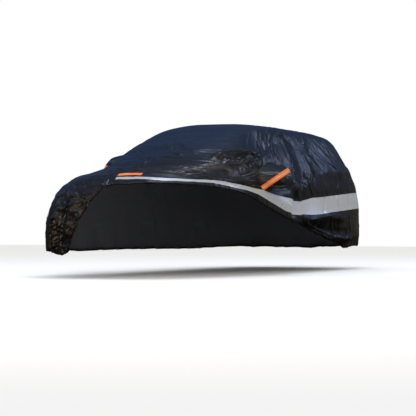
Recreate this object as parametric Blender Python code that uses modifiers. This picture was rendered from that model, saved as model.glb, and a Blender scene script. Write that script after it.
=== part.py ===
"""Fitted car cover, lifted at its near front quarter.

Sizes are metres. The front faces -Y, the near side is +X and +Z is up. The
tables give heights above the ground; the origin lies just under the roof
cloth, above the middle of the length, where the covered roof carries it.
"""

import math

import bmesh
import bpy
import numpy as np
from mathutils import Vector
from mathutils.bvhtree import BVHTree

# ---- driving sizes -------------------------------------------------------
ROOF_HEIGHT = 1.585        # ground to the origin, which is a few mm under the roof cloth
CLOTH_THICK = 0.0012       # coated polyester with its felt backing
SEAM_INSET = 0.0004        # each panel stops this short of its seam
TAPE_THICK = 0.0010
TAPE_WIDTH = 0.050
TAPE_STEP = 0.022          # spacing of a strip's cross rows
TAPE_LANES = 2             # faces across a strip
CROWN_START = 0.07         # share of a rib under the flat crown patch
HEM_RADIUS = 0.011         # the elastic hem curls under with this radius
CANOPY_ROWS = 12
RAIL_ROW = 5               # the canopy row that the roof seam follows
BAND_ROWS = 2
SKIRT_ROWS = 3
CURL_ROWS = 3

# Closed rings from the spine of the roof down to the hem. Ends are in Y,
# halves are half widths at front, middle and rear, heights likewise, and the
# powers square the front and rear corners in plan.
RING_COLUMNS = ("front", "rear", "half_f", "half_m", "half_r", "high_f", "high_m", "high_r", "pow_f", "pow_r")
RINGS = {
    "spine":  (-0.10, 1.45, 0.000, 0.000, 0.000, 1.585, 1.610, 1.565, 4.0, 4.0),
    "crown":  (-0.30, 1.75, 0.300, 0.360, 0.360, 1.570, 1.590, 1.545, 4.0, 4.0),
    "rail":   (-0.46, 1.99, 0.560, 0.630, 0.665, 1.525, 1.535, 1.480, 4.0, 4.2),
    "glass":  (-0.92, 2.12, 0.700, 0.760, 0.785, 1.335, 1.330, 1.290, 4.0, 4.4),
    "cowl":   (-1.40, 2.23, 0.800, 0.870, 0.860, 1.100, 1.100, 1.090, 4.2, 4.8),
    "bonnet": (-1.80, 2.29, 0.800, 0.895, 0.885, 1.000, 0.990, 0.960, 3.6, 5.4),
    "lip":    (-2.14, 2.32, 0.800, 0.905, 0.900, 0.905, 0.880, 0.840, 3.5, 5.6),
    "nose":   (-2.26, 2.33, 0.840, 0.905, 0.905, 0.770, 0.740, 0.710, 4.4, 6.0),
    "bumper": (-2.30, 2.335, 0.870, 0.905, 0.905, 0.560, 0.560, 0.550, 5.2, 6.0),
    "sill":   (-2.30, 2.33, 0.875, 0.900, 0.900, 0.400, 0.400, 0.400, 5.4, 6.0),
    "hem":    (-2.28, 2.28, 0.870, 0.880, 0.880, 0.200, 0.215, 0.225, 5.4, 5.8),
}
MEASURE_RING = "bumper"    # the way round is measured in metres along this ring
FINE_STEPS = 20001         # steps used to measure along it

# Where the canopy, the silver band and the skirt end, as shares of the rib
# from spine to full hem. "around" is metres from the front centre, positive
# round the near side. The near front quarter is swept up over the bonnet.
EDGE_COLUMNS = ("around", "canopy", "band", "hem")
EDGES = (
    (-5.92, 0.665, 0.755, 0.984),
    (-4.90, 0.668, 0.758, 0.978),
    (-4.00, 0.690, 0.780, 0.985),
    (-2.50, 0.725, 0.812, 0.982),
    (-1.60, 0.775, 0.850, 0.986),
    (-1.10, 0.812, 0.880, 0.980),
    (-0.84, 0.834, 0.888, 0.980),
    (-0.70, 0.842, 0.872, 0.982),
    (-0.62, 0.822, 0.870, 0.985),
    (-0.55, 0.790, 0.855, 0.989),
    (-0.45, 0.756, 0.830, 0.994),
    (-0.37, 0.744, 0.812, 0.985),
    (-0.30, 0.739, 0.793, 0.939),
    (-0.24, 0.736, 0.775, 0.888),
    (-0.19, 0.734, 0.760, 0.848),
    (-0.13, 0.732, 0.750, 0.795),
    (-0.05, 0.730, 0.743, 0.772),
    (0.07, 0.728, 0.738, 0.758),
    (0.42, 0.719, 0.735, 0.752),
    (0.66, 0.733, 0.749, 0.757),
    (0.84, 0.728, 0.743, 0.754),
    (1.05, 0.710, 0.726, 0.741),
    (1.18, 0.702, 0.722, 0.737),
    (1.40, 0.700, 0.726, 0.738),
    (1.60, 0.706, 0.729, 0.750),
    (1.83, 0.708, 0.744, 0.771),
    (2.12, 0.726, 0.773, 0.798),
    (2.37, 0.734, 0.793, 0.817),
    (2.65, 0.744, 0.815, 0.838),
    (2.93, 0.765, 0.827, 0.855),
    (3.10, 0.753, 0.818, 0.870),
    (3.33, 0.729, 0.812, 0.882),
    (3.61, 0.714, 0.800, 0.903),
    (3.86, 0.701, 0.787, 0.931),
    (4.13, 0.690, 0.779, 0.950),
    (4.45, 0.681, 0.771, 0.981),
    (4.85, 0.675, 0.763, 0.970),
    (5.20, 0.668, 0.757, 0.972),
)
BAND_SPAN = (-0.72, 0.14)  # the band is tucked into the flap between these places
HEM_TUCK = ((-5.9, 0.012), (-0.5, 0.012), (-0.2, 0.02), (0.3, 0.05), (2.6, 0.06), (4.2, 0.012), (5.9, 0.012))

# Column spacing round the cover, close where the folds are close.
SPACING = (
    (-5.92, 0.150), (-2.60, 0.150), (-2.35, 0.080), (-1.55, 0.080), (-1.20, 0.100),
    (-0.75, 0.050), (-0.42, 0.036), (-0.36, 0.026), (-0.12, 0.026), (0.10, 0.070),
    (0.60, 0.062), (0.90, 0.050), (2.60, 0.050), (3.10, 0.070), (4.90, 0.085), (5.92, 0.150),
)

# The side panels' front and rear seams, in metres round the cover.
SIDE_FROM, SIDE_TO = 1.08, 4.95

# Mirror pockets: pouches sewn over a hole in each side panel. Centres are in
# Y and height above the ground; the crest leans forward by "lean", the pouch is
# lower at its front by "taper" and "skew", and rises over the share "slope".
POCKETS = {
    "near_mirror_pocket": {"side": 1, "y": -0.570, "height": 0.985, "half_long": 0.235, "half_high": 0.135,
                           "reach": 0.205, "lean": 0.000, "taper": 0.35, "skew": 0.035, "slope": 0.38},
    "far_mirror_pocket":  {"side": -1, "y": -0.600, "height": 1.155, "half_long": 0.205, "half_high": 0.130,
                           "reach": 0.195, "lean": -0.020, "taper": 0.0, "skew": 0.0, "slope": 0.28},
}
POCKET_TURNS = 32          # points round a pocket
POCKET_RINGS = (1.0, 0.93, 0.84, 0.73, 0.60, 0.40)
POCKET_SLUMP = 0.02        # its face falls back this much towards the corners
POCKET_SQUARE = 2.8        # power of the pocket's outline
POCKET_HOLE = 0.76         # the hole behind, as a share of the pocket's size
SEAM_GAP = 0.0004          # between a sewn-on piece and the cloth where they meet
SEAM_SPREAD = 0.010        # how far round a point the folds under it are felt
SEAT_REACH = 0.020         # a sewn-on piece moves this far at most to meet the cloth
SEAT_STEP = 0.0004
FAR_OUT = 3.0              # further out than any cloth, to look in from

# Main folds: places along each fold as (around, share), then how wide and how
# high it stands; a negative height is a valley.
FOLD_TAPER = 0.16          # share of a fold over which each end dies away
FOLD_END = 0.25            # what is left of its height at the very end
FOLD_COLUMNS = ("route", "wide", "high")
FOLDS = {
    "pillar":        (((0.97, 0.215), (1.27, 0.430)), 0.050, 0.014),
    "fan_1":         (((1.00, 0.225), (1.46, 0.500)), 0.040, 0.014),
    "fan_2":         (((1.10, 0.235), (1.66, 0.500)), 0.040, 0.014),
    "fan_3":         (((1.25, 0.240), (1.92, 0.500)), 0.042, 0.014),
    "fan_gap":       (((1.20, 0.330), (1.76, 0.508)), 0.045, -0.010),
    "main_ridge":    (((1.57, 0.246), (1.99, 0.338), (2.36, 0.504), (2.93, 0.760)), 0.050, 0.036),
    "ridge_foot":    (((2.05, 0.320), (2.52, 0.470), (3.02, 0.720)), 0.060, -0.020),
    "rear_fan_1":    (((2.45, 0.290), (3.27, 0.588)), 0.050, 0.022),
    "rear_fan_2":    (((2.88, 0.340), (3.93, 0.554)), 0.055, 0.022),
    "rear_gap":      (((2.70, 0.330), (3.60, 0.575)), 0.045, -0.014),
    "rear_fan_3":    (((3.70, 0.390), (4.42, 0.604)), 0.060, 0.014),
    "shoulder":      (((3.40, 0.571), (4.40, 0.560), (5.00, 0.545)), 0.060, 0.016),
    "cowl_dip":      (((-0.75, 0.512), (-0.33, 0.483), (0.18, 0.487), (0.72, 0.546)), 0.050, -0.020),
    "bonnet_fold_1": (((-0.31, 0.588), (0.47, 0.629), (0.83, 0.654)), 0.050, 0.014),
    "bonnet_fold_2": (((-0.30, 0.665), (0.30, 0.680), (0.80, 0.700)), 0.045, 0.012),
    "bunch_crest":   (((0.70, 0.478), (0.78, 0.446), (1.19, 0.446), (1.34, 0.483)), 0.040, 0.050),
    "bunch_front":   (((0.85, 0.529), (1.09, 0.512), (1.26, 0.487)), 0.036, 0.030),
    "bunch_end":     (((1.34, 0.483), (1.40, 0.554)), 0.035, 0.030),
    "bunch_foot":    (((0.76, 0.580), (1.02, 0.600), (1.24, 0.632)), 0.040, 0.018),
    "crumple_1":     (((0.80, 0.700), (1.04, 0.690), (1.34, 0.665), (1.60, 0.640)), 0.042, 0.022),
    "crumple_2":     (((1.30, 0.680), (1.60, 0.686), (1.90, 0.690)), 0.040, 0.018),
    "crumple_gap":   (((1.00, 0.660), (1.35, 0.630), (1.52, 0.590)), 0.042, -0.016),
    "pocket_hollow": (((1.95, 0.668), (2.25, 0.664), (2.50, 0.655)), 0.045, -0.030),
    "ripple":        (((2.50, 0.640), (2.84, 0.717)), 0.042, 0.018),
    "band_kink":     (((2.93, 0.730), (2.91, 0.845)), 0.045, -0.030),
    "band_roll":     (((1.90, 0.730), (2.45, 0.765), (2.85, 0.800)), 0.040, 0.022),
    "skirt_belly":   (((2.98, 0.842), (3.35, 0.838), (3.80, 0.812), (4.40, 0.815)), 0.055, 0.030),
    "skirt_sweep_1": (((3.20, 0.870), (3.80, 0.890), (4.50, 0.900)), 0.050, -0.016),
    "skirt_sweep_2": (((3.70, 0.920), (4.30, 0.935), (4.90, 0.900)), 0.045, 0.018),
    "flap_fold":     (((-0.60, 0.800), (-0.42, 0.840), (-0.41, 0.896), (-0.45, 0.985)), 0.034, -0.028),
    "flap_lip":      (((-0.44, 0.785), (-0.35, 0.815), (-0.33, 0.860), (-0.38, 0.960)), 0.040, 0.028),
    "corner_fold_1": (((-0.54, 0.855), (-0.53, 0.985)), 0.028, 0.028),
    "corner_gap_1":  (((-0.61, 0.860), (-0.60, 0.985)), 0.026, -0.018),
    "corner_fold_2": (((-0.69, 0.880), (-0.67, 0.985)), 0.030, 0.012),
    "corner_fold_3": (((-0.86, 0.900), (-0.84, 0.985)), 0.040, 0.008),
    "wing_fold":     (((-0.95, 0.560), (-0.78, 0.680), (-0.72, 0.800)), 0.050, 0.014),
    "screen_1":      (((-0.60, 0.340), (-0.10, 0.330), (0.45, 0.300)), 0.070, 0.010),
    "screen_2":      (((-0.20, 0.430), (0.30, 0.400), (0.62, 0.380)), 0.060, 0.012),
    "header":        (((-0.60, 0.230), (0.00, 0.170), (0.70, 0.220)), 0.080, -0.008),
    "far_ridge":     (((-1.50, 0.246), (-2.10, 0.400), (-2.60, 0.660)), 0.060, 0.030),
    "far_fold_1":    (((-2.50, 0.290), (-3.10, 0.600)), 0.060, 0.022),
    "far_fold_2":    (((-3.30, 0.320), (-3.90, 0.610)), 0.065, 0.024),
    "far_fold_3":    (((-4.30, 0.330), (-4.60, 0.640)), 0.070, 0.018),
    "far_skirt_1":   (((-1.90, 0.880), (-2.00, 0.985)), 0.060, 0.022),
    "far_skirt_2":   (((-2.90, 0.850), (-3.00, 0.985)), 0.070, 0.022),
    "far_skirt_3":   (((-4.10, 0.830), (-4.20, 0.985)), 0.070, 0.022),
    "tail_fold_1":   (((5.35, 0.300), (5.45, 0.640)), 0.080, 0.020),
    "tail_fold_2":   (((-5.50, 0.300), (-5.35, 0.640)), 0.080, 0.018),
    "tail_skirt":    (((5.60, 0.800), (5.75, 0.985)), 0.080, 0.024),
}

# Slow swells of the whole cloth, and the elastic's gathers along the hem.
SWELL_COLUMNS = ("high", "per_x", "per_y", "per_z", "phase")
SWELLS = ((0.004, 0.0, 5.1, 3.3, 1.0), (0.003, 8.3, -6.1, 0.0, 2.0))
GATHER_COLUMNS = ("high", "long", "phase")
GATHERS = ((0.008, 0.410, 0.0), (0.005, 0.263, 1.0))
GATHER_FROM, GATHER_FULL = 0.78, 0.98      # shares of a rib where they start and are full

# Reflective strips, from one place to another as (X, Y, height above the
# ground), and the way they are laid on from.
STRIP_COLUMNS = ("start", "end", "laid_from")
STRIPS = {
    "near_pocket_strip": ((0.872, -0.733, 0.860), (1.105, -0.580, 1.052), (0.47, -0.88, 0.0)),
    "far_pocket_strip":  ((-0.850, -0.760, 1.075), (-1.000, -0.640, 1.200), (-0.75, -0.66, 0.0)),
    "bonnet_strip":      ((0.04, -2.082, 1.0), (0.28, -2.052, 1.0), (0.0, -0.5, 1.0)),
    "far_corner_strip":  ((-0.70, -1.900, 0.800), (-0.62, -2.080, 0.770), (-0.8, -0.6, 0.5)),
}

# Colours are linear red, green and blue.
CLOTHS = {
    "coated_cloth": ((0.012, 0.022, 0.050), 0.38, 0.0),
    "silver_tape":  ((0.330, 0.345, 0.370), 0.32, 0.5),
    "orange_tape":  ((0.900, 0.210, 0.020), 0.42, 0.0),
}


# ---- surface -------------------------------------------------------------
def ring_points(sizes, angle):
    """Points of one ring; angle 0 is the front centre and a quarter turn the near side."""
    ring = dict(zip(RING_COLUMNS, sizes))
    cos, sin = np.cos(angle), np.sin(angle)
    power = np.where(cos > 0, ring["pow_f"], ring["pow_r"])
    across = np.sign(sin) * np.abs(sin) ** (2 / power)
    along = -np.sign(cos) * np.abs(cos) ** (2 / power)

    def blend(front, middle, rear):
        return middle + (rear - front) / 2 * along + ((front + rear) / 2 - middle) * along ** 2

    x = blend(ring["half_f"], ring["half_m"], ring["half_r"]) * across
    y = (ring["front"] + ring["rear"]) / 2 + along * (ring["rear"] - ring["front"]) / 2
    z = blend(ring["high_f"], ring["high_m"], ring["high_r"]) - ROOF_HEIGHT
    return np.stack([x, y, z], -1)


def measure_round():
    """Angles and metres round the measuring ring, to turn one into the other."""
    angles = np.linspace(0, 2 * math.pi, FINE_STEPS)
    points = ring_points(RINGS[MEASURE_RING], angles)
    steps = np.linalg.norm(np.diff(points, axis=0), axis=1)
    return angles, np.concatenate([[0], np.cumsum(steps)])


ROUND_ANGLES, ROUND_METRES = measure_round()
WAY_ROUND = ROUND_METRES[-1]


def rib_points(around):
    """Ring points under each place round the cover: (places, rings, 3)."""
    angles = np.interp(np.mod(around, WAY_ROUND), ROUND_METRES, ROUND_ANGLES)
    return np.stack([ring_points(sizes, angles) for sizes in RINGS.values()], 1)


def along_ribs(ribs, share):
    """Smooth points at shares of each rib's length: ribs (places, rings, 3), share (places, n)."""
    gaps = np.linalg.norm(np.diff(ribs, axis=1), axis=2)
    knots = np.concatenate([np.zeros((len(ribs), 1)), np.cumsum(gaps, 1)], 1)
    slopes = np.diff(ribs, axis=1) / gaps[..., None]
    before, after = gaps[:, :-1, None], gaps[:, 1:, None]
    middle = (slopes[:, :-1] * after + slopes[:, 1:] * before) / (before + after)
    tangents = np.concatenate([slopes[:, :1], middle, slopes[:, -1:]], 1)
    length = share * knots[:, -1:]
    left = (length[..., None] >= knots[:, None, 1:-1]).sum(-1)
    row = np.arange(len(ribs))[:, None]
    span = gaps[row, left]
    t = ((length - knots[row, left]) / span)[..., None]
    start, end = ribs[row, left], ribs[row, left + 1]
    leave = tangents[row, left] * span[..., None]
    arrive = tangents[row, left + 1] * span[..., None]
    return ((2 * t ** 3 - 3 * t ** 2 + 1) * start + (t ** 3 - 2 * t ** 2 + t) * leave
            + (3 * t ** 2 - 2 * t ** 3) * end + (t ** 3 - t ** 2) * arrive)


def smooth_step(x):
    x = np.clip(x, 0, 1)
    return x * x * (3 - 2 * x)


def route_points(route, steps=10):
    """A fold's route on the smooth shape, as a chain of points."""
    places = np.array(route, float)
    stops = np.linspace(0, len(places) - 1, steps * (len(places) - 1) + 1)
    around = np.interp(stops, np.arange(len(places)), places[:, 0])
    share = np.interp(stops, np.arange(len(places)), places[:, 1])
    return along_ribs(rib_points(around), share[:, None])[:, 0]


def near_route(points, chain):
    """Distance of each point to a chain, and how far along the chain it lies (0 to 1)."""
    best = np.full(len(points), np.inf)
    along = np.zeros(len(points))
    for number, (start, end) in enumerate(zip(chain[:-1], chain[1:])):
        step = end - start
        t = np.clip((points - start) @ step / (step @ step), 0, 1)
        apart = np.linalg.norm(points - start - t[:, None] * step, axis=1)
        closer = apart < best
        best = np.where(closer, apart, best)
        along = np.where(closer, (number + t) / (len(chain) - 1), along)
    return best, along


def fold_cloth(points, normals, around, share):
    """Move the smooth shape's points out and in along its normals: folds and gathers."""
    flat, out = points.reshape(-1, 3), normals.reshape(-1, 3)
    lift = np.zeros(len(flat))
    for sizes in FOLDS.values():
        fold = dict(zip(FOLD_COLUMNS, sizes))
        apart, along = near_route(flat, route_points(fold["route"]))
        ends = smooth_step(along / FOLD_TAPER) * smooth_step((1 - along) / FOLD_TAPER)
        full = FOLD_END + (1 - FOLD_END) * ends
        lift += fold["high"] * full * np.exp(-(apart / fold["wide"]) ** 2)
    for sizes in SWELLS:
        swell = dict(zip(SWELL_COLUMNS, sizes))
        waves = flat @ (swell["per_x"], swell["per_y"], swell["per_z"])
        lift += swell["high"] * np.sin(waves + swell["phase"])
    gathered = smooth_step((share.reshape(-1) - GATHER_FROM) / (GATHER_FULL - GATHER_FROM))
    for sizes in GATHERS:
        gather = dict(zip(GATHER_COLUMNS, sizes))
        turns = 2 * math.pi * around.reshape(-1) / gather["long"] + gather["phase"]
        lift += gathered * gather["high"] * np.sin(turns)
    return (flat + out * lift[:, None]).reshape(points.shape)


def grid_normals(points):
    """Outward normals of a grid that closes round its first axis."""
    round_step = np.roll(points, -1, 0) - np.roll(points, 1, 0)
    down_step = np.gradient(points, axis=1)
    normals = np.cross(down_step, round_step)
    return normals / np.linalg.norm(normals, axis=2, keepdims=True)


def edge_shares(around):
    """Canopy, band and hem shares at each place round the cover."""
    table = np.array(EDGES)
    following = table[0].copy()
    following[0] += WAY_ROUND
    table = np.vstack([table, following])
    where = np.mod(around - table[0, 0], WAY_ROUND) + table[0, 0]
    return [np.interp(where, table[:, 0], table[:, EDGE_COLUMNS.index(name)]) for name in EDGE_COLUMNS[1:]]


def column_places():
    """Places of the grid's columns, spaced by the table."""
    table = np.array(SPACING)
    fine = np.linspace(-WAY_ROUND / 2, WAY_ROUND / 2, FINE_STEPS)
    density = 1 / np.interp(fine, table[:, 0], table[:, 1])
    total = np.concatenate([[0], np.cumsum((density[1:] + density[:-1]) / 2 * np.diff(fine))])
    count = round(total[-1])
    return np.interp(np.arange(count) / count * total[-1], total, fine)


def row_shares(around):
    """Rib shares of every row: canopy, band and skirt, one row list per column."""
    canopy, band, hem = edge_shares(around)
    crown = np.full_like(canopy, CROWN_START)
    parts = []
    spans = (crown, canopy, CANOPY_ROWS), (canopy, band, BAND_ROWS), (band, hem, SKIRT_ROWS)
    for top, bottom, rows in spans:
        steps = np.arange(rows) / rows
        parts.append(top[:, None] + (bottom - top)[:, None] * steps)
    parts.append(hem[:, None])
    return np.concatenate(parts, 1)


def folded_points(around, share):
    """Points of the folded cloth and their outward normals."""
    smooth = along_ribs(rib_points(around), share)
    turn = np.broadcast_to(around[:, None], share.shape)
    points = fold_cloth(smooth, grid_normals(smooth), turn, share)
    return points, grid_normals(points)


def curl_hem(points, normals, around, share):
    """Rows that carry the cloth round the elastic hem and back up inside."""
    edge, out = points[:, -1], normals[:, -1]
    down = np.cross(np.roll(edge, -1, 0) - np.roll(edge, 1, 0), out)
    down /= np.linalg.norm(down, axis=1, keepdims=True)
    rows = [edge + HEM_RADIUS * (math.sin(turn) * down - (1 - math.cos(turn)) * out)
            for turn in np.linspace(0, math.pi, CURL_ROWS)[1:]]
    ribs = rib_points(around)
    length = np.linalg.norm(np.diff(ribs, axis=1), axis=2).sum(1)
    tuck = np.interp(around, *np.array(HEM_TUCK).T) / length
    behind, outward = folded_points(around, np.stack([share[:, -1] - tuck, share[:, -1]], 1))
    rows.append(behind[:, 0] - outward[:, 0] * 2 * HEM_RADIUS)
    return np.stack(rows, 1)


def cover_grid():
    """The whole cloth as a grid: columns round the cover, rows from crown to tucked hem."""
    around = column_places()
    share = row_shares(around)
    points, normals = folded_points(around, share)
    return around, np.concatenate([points, curl_hem(points, normals, around, share)], 1)


# ---- meshes --------------------------------------------------------------
def make_material(name):
    colour, roughness, metallic = CLOTHS[name]
    material = bpy.data.materials.new(name)
    material.use_nodes = True
    shader = material.node_tree.nodes["Principled BSDF"]
    shader.inputs["Base Color"].default_value = (*colour, 1.0)
    shader.inputs["Roughness"].default_value = roughness
    shader.inputs["Metallic"].default_value = metallic
    return material


def seam_shifts(mesh):
    """How far each edge corner of a sheet is drawn back from its neighbours."""
    pull = {}
    for edge in mesh.edges:
        if not edge.is_boundary:
            continue
        face = edge.link_faces[0]
        start, end = edge.verts
        inward = face.normal.cross(end.co - start.co).normalized()
        if inward.dot(face.calc_center_median() - start.co) < 0:
            inward.negate()
        for corner in (start, end):
            pull[corner] = pull.get(corner, Vector()) + inward
    return {corner: way.normalized() * SEAM_INSET for corner, way in pull.items()}


def fill_crown(mesh, corners, columns):
    """Close the flat top of the roof inside the first row."""
    ring = {corners[(column, 0)] for column in range(columns)}
    rim = {edge for corner in ring for edge in corner.link_edges
           if edge.is_boundary and all(vert in ring for vert in edge.verts)}
    bmesh.ops.triangle_fill(mesh, edges=list(rim), use_beauty=True, normal=(0, 0, 1))


def close_sheet(mesh, corners, inner):
    """Give an open sheet its inner skin and its cut edges.

    All panels share one set of normals, so the edges of two neighbours stay
    parallel across their seam at any fold.
    """
    outer_faces = mesh.faces[:]
    loops = [edge.link_loops[0] for edge in mesh.edges if edge.is_boundary]
    rims = [(loop.vert, loop.link_loop_next.vert) for loop in loops]
    shifts = seam_shifts(mesh)
    under = {}
    for key, corner in corners.items():
        shift = shifts.get(corner, Vector())
        under[corner] = mesh.verts.new(Vector(inner[key]) + shift)
        corner.co += shift
    for face in outer_faces:
        mesh.faces.new([under[corner] for corner in reversed(face.verts)])
    for start, end in rims:
        mesh.faces.new((end, start, under[start], under[end]))


def sheet_object(name, skins, keep, material, collection, crown=False, closed=True):
    """One cloth piece from the faces of the grid that keep(column, row) accepts."""
    outer, inner = skins
    columns, rows = outer.shape[:2]
    mesh = bmesh.new()
    corners = {}

    def corner(column, row):
        key = (column % columns, row)
        if key not in corners:
            corners[key] = mesh.verts.new(outer[key])
        return corners[key]

    for column in range(columns):
        for row in range(rows - 1):
            if keep(column, row):
                mesh.faces.new((corner(column, row), corner(column, row + 1),
                                corner(column + 1, row + 1), corner(column + 1, row)))
    if crown:
        fill_crown(mesh, corners, columns)
    bmesh.ops.triangulate(mesh, faces=mesh.faces[:], quad_method="SHORT_EDGE")
    mesh.normal_update()
    if closed:
        close_sheet(mesh, corners, inner)
    data = bpy.data.meshes.new(name)
    mesh.to_mesh(data)
    mesh.free()
    data.shade_smooth()
    data.materials.append(material)
    piece = bpy.data.objects.new(name, data)
    collection.objects.link(piece)
    return piece


def lay_on(trees, point, way):
    """Carry a point against a direction on to the cloth, or the highest fold close round it."""
    way = Vector(way).normalized()
    across = way.orthogonal().normalized() * SEAM_SPREAD
    upward = way.cross(across)
    start = Vector(point) - way * Vector(point).dot(way) + way * FAR_OUT
    heights = []
    for shift in (Vector(), across, -across, upward, -upward):
        hits = [tree.ray_cast(start + shift, -way)[0] for tree in trees]
        heights += [hit.dot(way) for hit in hits if hit is not None]
    return start + way * (max(heights) - FAR_OUT)


def open_object(name, rows, wrap, material, collection):
    """A sheet from rows of points; wrap joins each row's ends."""
    mesh = bmesh.new()
    grid = [[mesh.verts.new(point) for point in row] for row in rows]
    lanes = len(grid[0]) if wrap else len(grid[0]) - 1
    for row, following in zip(grid[:-1], grid[1:]):
        for lane in range(lanes):
            beside = (lane + 1) % len(row)
            mesh.faces.new((row[lane], row[beside], following[beside], following[lane]))
    if wrap:
        mesh.faces.new(grid[-1])
    bmesh.ops.triangulate(mesh, faces=mesh.faces[:], quad_method="SHORT_EDGE")
    mesh.normal_update()
    data = bpy.data.meshes.new(name)
    mesh.to_mesh(data)
    mesh.free()
    data.shade_smooth()
    data.materials.append(material)
    piece = bpy.data.objects.new(name, data)
    collection.objects.link(piece)
    return piece


def thicken(piece, thick):
    shell = piece.modifiers.new("cloth", "SOLIDIFY")
    shell.thickness = thick
    shell.offset = 1.0


def seat(piece, trees, way):
    """Bring a sewn-on piece in against a direction until it all but touches the cloth."""
    shell = piece.evaluated_get(bpy.context.evaluated_depsgraph_get()).data
    faces = [face.vertices[:] for face in shell.polygons]
    for move in np.arange(SEAT_REACH, -SEAT_REACH, -SEAT_STEP):
        moved = BVHTree.FromPolygons([corner.co + way * move for corner in shell.vertices], faces)
        if any(moved.overlap(tree) for tree in trees):
            break
    for corner in piece.data.vertices:
        corner.co += way * (move + SEAM_GAP)


def pocket_upright(pocket, along):
    """Middle height of a pocket and half its height there, from its front (-1) to its rear (1)."""
    return pocket["height"] + pocket["skew"] * along, pocket["half_high"] * (1 + pocket["taper"] * along)


def pocket_object(name, pocket, tree, material, collection):
    """A pouch for the mirror, sewn on round its rim."""
    side = pocket["side"]
    turns = np.linspace(0, 2 * math.pi, POCKET_TURNS, endpoint=False) * side
    across = np.sign(np.cos(turns)) * np.abs(np.cos(turns)) ** (2 / POCKET_SQUARE)
    upward = np.sign(np.sin(turns)) * np.abs(np.sin(turns)) ** (2 / POCKET_SQUARE)
    rows = []
    for size in POCKET_RINGS:
        out = float(smooth_step((POCKET_RINGS[1] - size) / pocket["slope"]))
        row = []
        for along, up in zip(across * size, upward * size):
            y = pocket["y"] + along * pocket["half_long"]
            middle_height, half = pocket_upright(pocket, along)
            spot = lay_on([tree], (0, y, middle_height + up * half - ROOF_HEIGHT), (side, 0, 0))
            slump = POCKET_SLUMP * (along ** 2 + up ** 2)
            spot += Vector((side * (pocket["reach"] - slump), pocket["lean"], 0)) * out
            row.append(spot)
        rows.append(row)
    piece = open_object(name, rows, True, material, collection)
    thicken(piece, CLOTH_THICK)
    seat(piece, [tree], Vector((side, 0, 0)))
    return piece


def strip_object(name, places, trees, material, collection):
    """A reflective strip sewn on the cloth between two places."""
    strip = dict(zip(STRIP_COLUMNS, places))
    ground = Vector((0, 0, ROOF_HEIGHT))
    start, end = Vector(strip["start"]) - ground, Vector(strip["end"]) - ground
    way = Vector(strip["laid_from"]).normalized()
    across = (end - start).cross(way).normalized() * TAPE_WIDTH
    steps = max(3, round((end - start).length / TAPE_STEP))
    rows = []
    for step in range(steps + 1):
        middle = start.lerp(end, step / steps)
        rows.append([lay_on(trees, middle + across * (lane / TAPE_LANES - 0.5), way)
                     for lane in range(TAPE_LANES + 1)])
    piece = open_object(name, rows, False, material, collection)
    thicken(piece, TAPE_THICK)
    seat(piece, trees, way)


def main():
    for old in list(bpy.data.objects):
        bpy.data.objects.remove(old, do_unlink=True)
    scene = bpy.context.scene
    cover = bpy.data.collections.new("car_cover")
    guides = bpy.data.collections.new("guides")
    scene.collection.children.link(cover)
    scene.collection.children.link(guides)
    cloth = {name: make_material(name) for name in CLOTHS}

    around, grid = cover_grid()
    columns = len(around)
    canopy_end = CANOPY_ROWS
    band_end = CANOPY_ROWS + BAND_ROWS
    last = grid.shape[1] - 1
    middle = (around + np.roll(around, -1)) / 2
    middle[-1] = WAY_ROUND / 2

    centres = (grid + np.roll(grid, -1, 0))[:, :-1] / 2
    centres = (centres + (np.roll(grid, -1, 0) + grid)[:, 1:] / 2) / 2

    def in_hole(column, row):
        point = centres[column, row]
        for pocket in POCKETS.values():
            along = (point[1] - pocket["y"]) / pocket["half_long"]
            middle_height, half = pocket_upright(pocket, along)
            up = (point[2] + ROOF_HEIGHT - middle_height) / half
            if point[0] * pocket["side"] > 0 and along ** 2 + up ** 2 < POCKET_HOLE ** 2:
                return True
        return False

    def on_side(column, row, side):
        place_round = middle[column] * side
        return RAIL_ROW <= row < canopy_end and SIDE_FROM < place_round < SIDE_TO

    def in_band(column, row):
        tucked = BAND_SPAN[0] < middle[column] < BAND_SPAN[1]
        return canopy_end <= row < band_end and not tucked

    skins = (grid, grid - grid_normals(grid) * CLOTH_THICK)
    dark, silver = cloth["coated_cloth"], cloth["silver_tape"]
    guide = sheet_object("outer_surface", skins, lambda c, r: r < band_end, dark, guides, closed=False)
    guide.hide_render = True
    guide.display_type = "WIRE"
    tree = BVHTree.FromObject(guide, bpy.context.evaluated_depsgraph_get())

    sheet_object("top_panel", skins, lambda c, r: r < canopy_end and not on_side(c, r, 1)
                 and not on_side(c, r, -1), dark, cover, crown=True)
    sheet_object("near_side_panel", skins, lambda c, r: on_side(c, r, 1) and not in_hole(c, r), dark, cover)
    sheet_object("far_side_panel", skins, lambda c, r: on_side(c, r, -1) and not in_hole(c, r), dark, cover)
    sheet_object("silver_band", skins, in_band, silver, cover)
    sheet_object("skirt", skins, lambda c, r: canopy_end <= r < last and not in_band(c, r), dark, cover)

    trees = [tree]
    for name, pocket in POCKETS.items():
        pouch = pocket_object(name, pocket, tree, dark, cover)
        trees.append(BVHTree.FromObject(pouch, bpy.context.evaluated_depsgraph_get()))
    for name, places in STRIPS.items():
        strip_object(name, places, trees, cloth["orange_tape"], cover)


main()
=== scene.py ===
import math

import bmesh
import bpy
import numpy as np
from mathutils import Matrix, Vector
from mathutils.bvhtree import BVHTree
from mathutils.kdtree import KDTree


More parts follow.
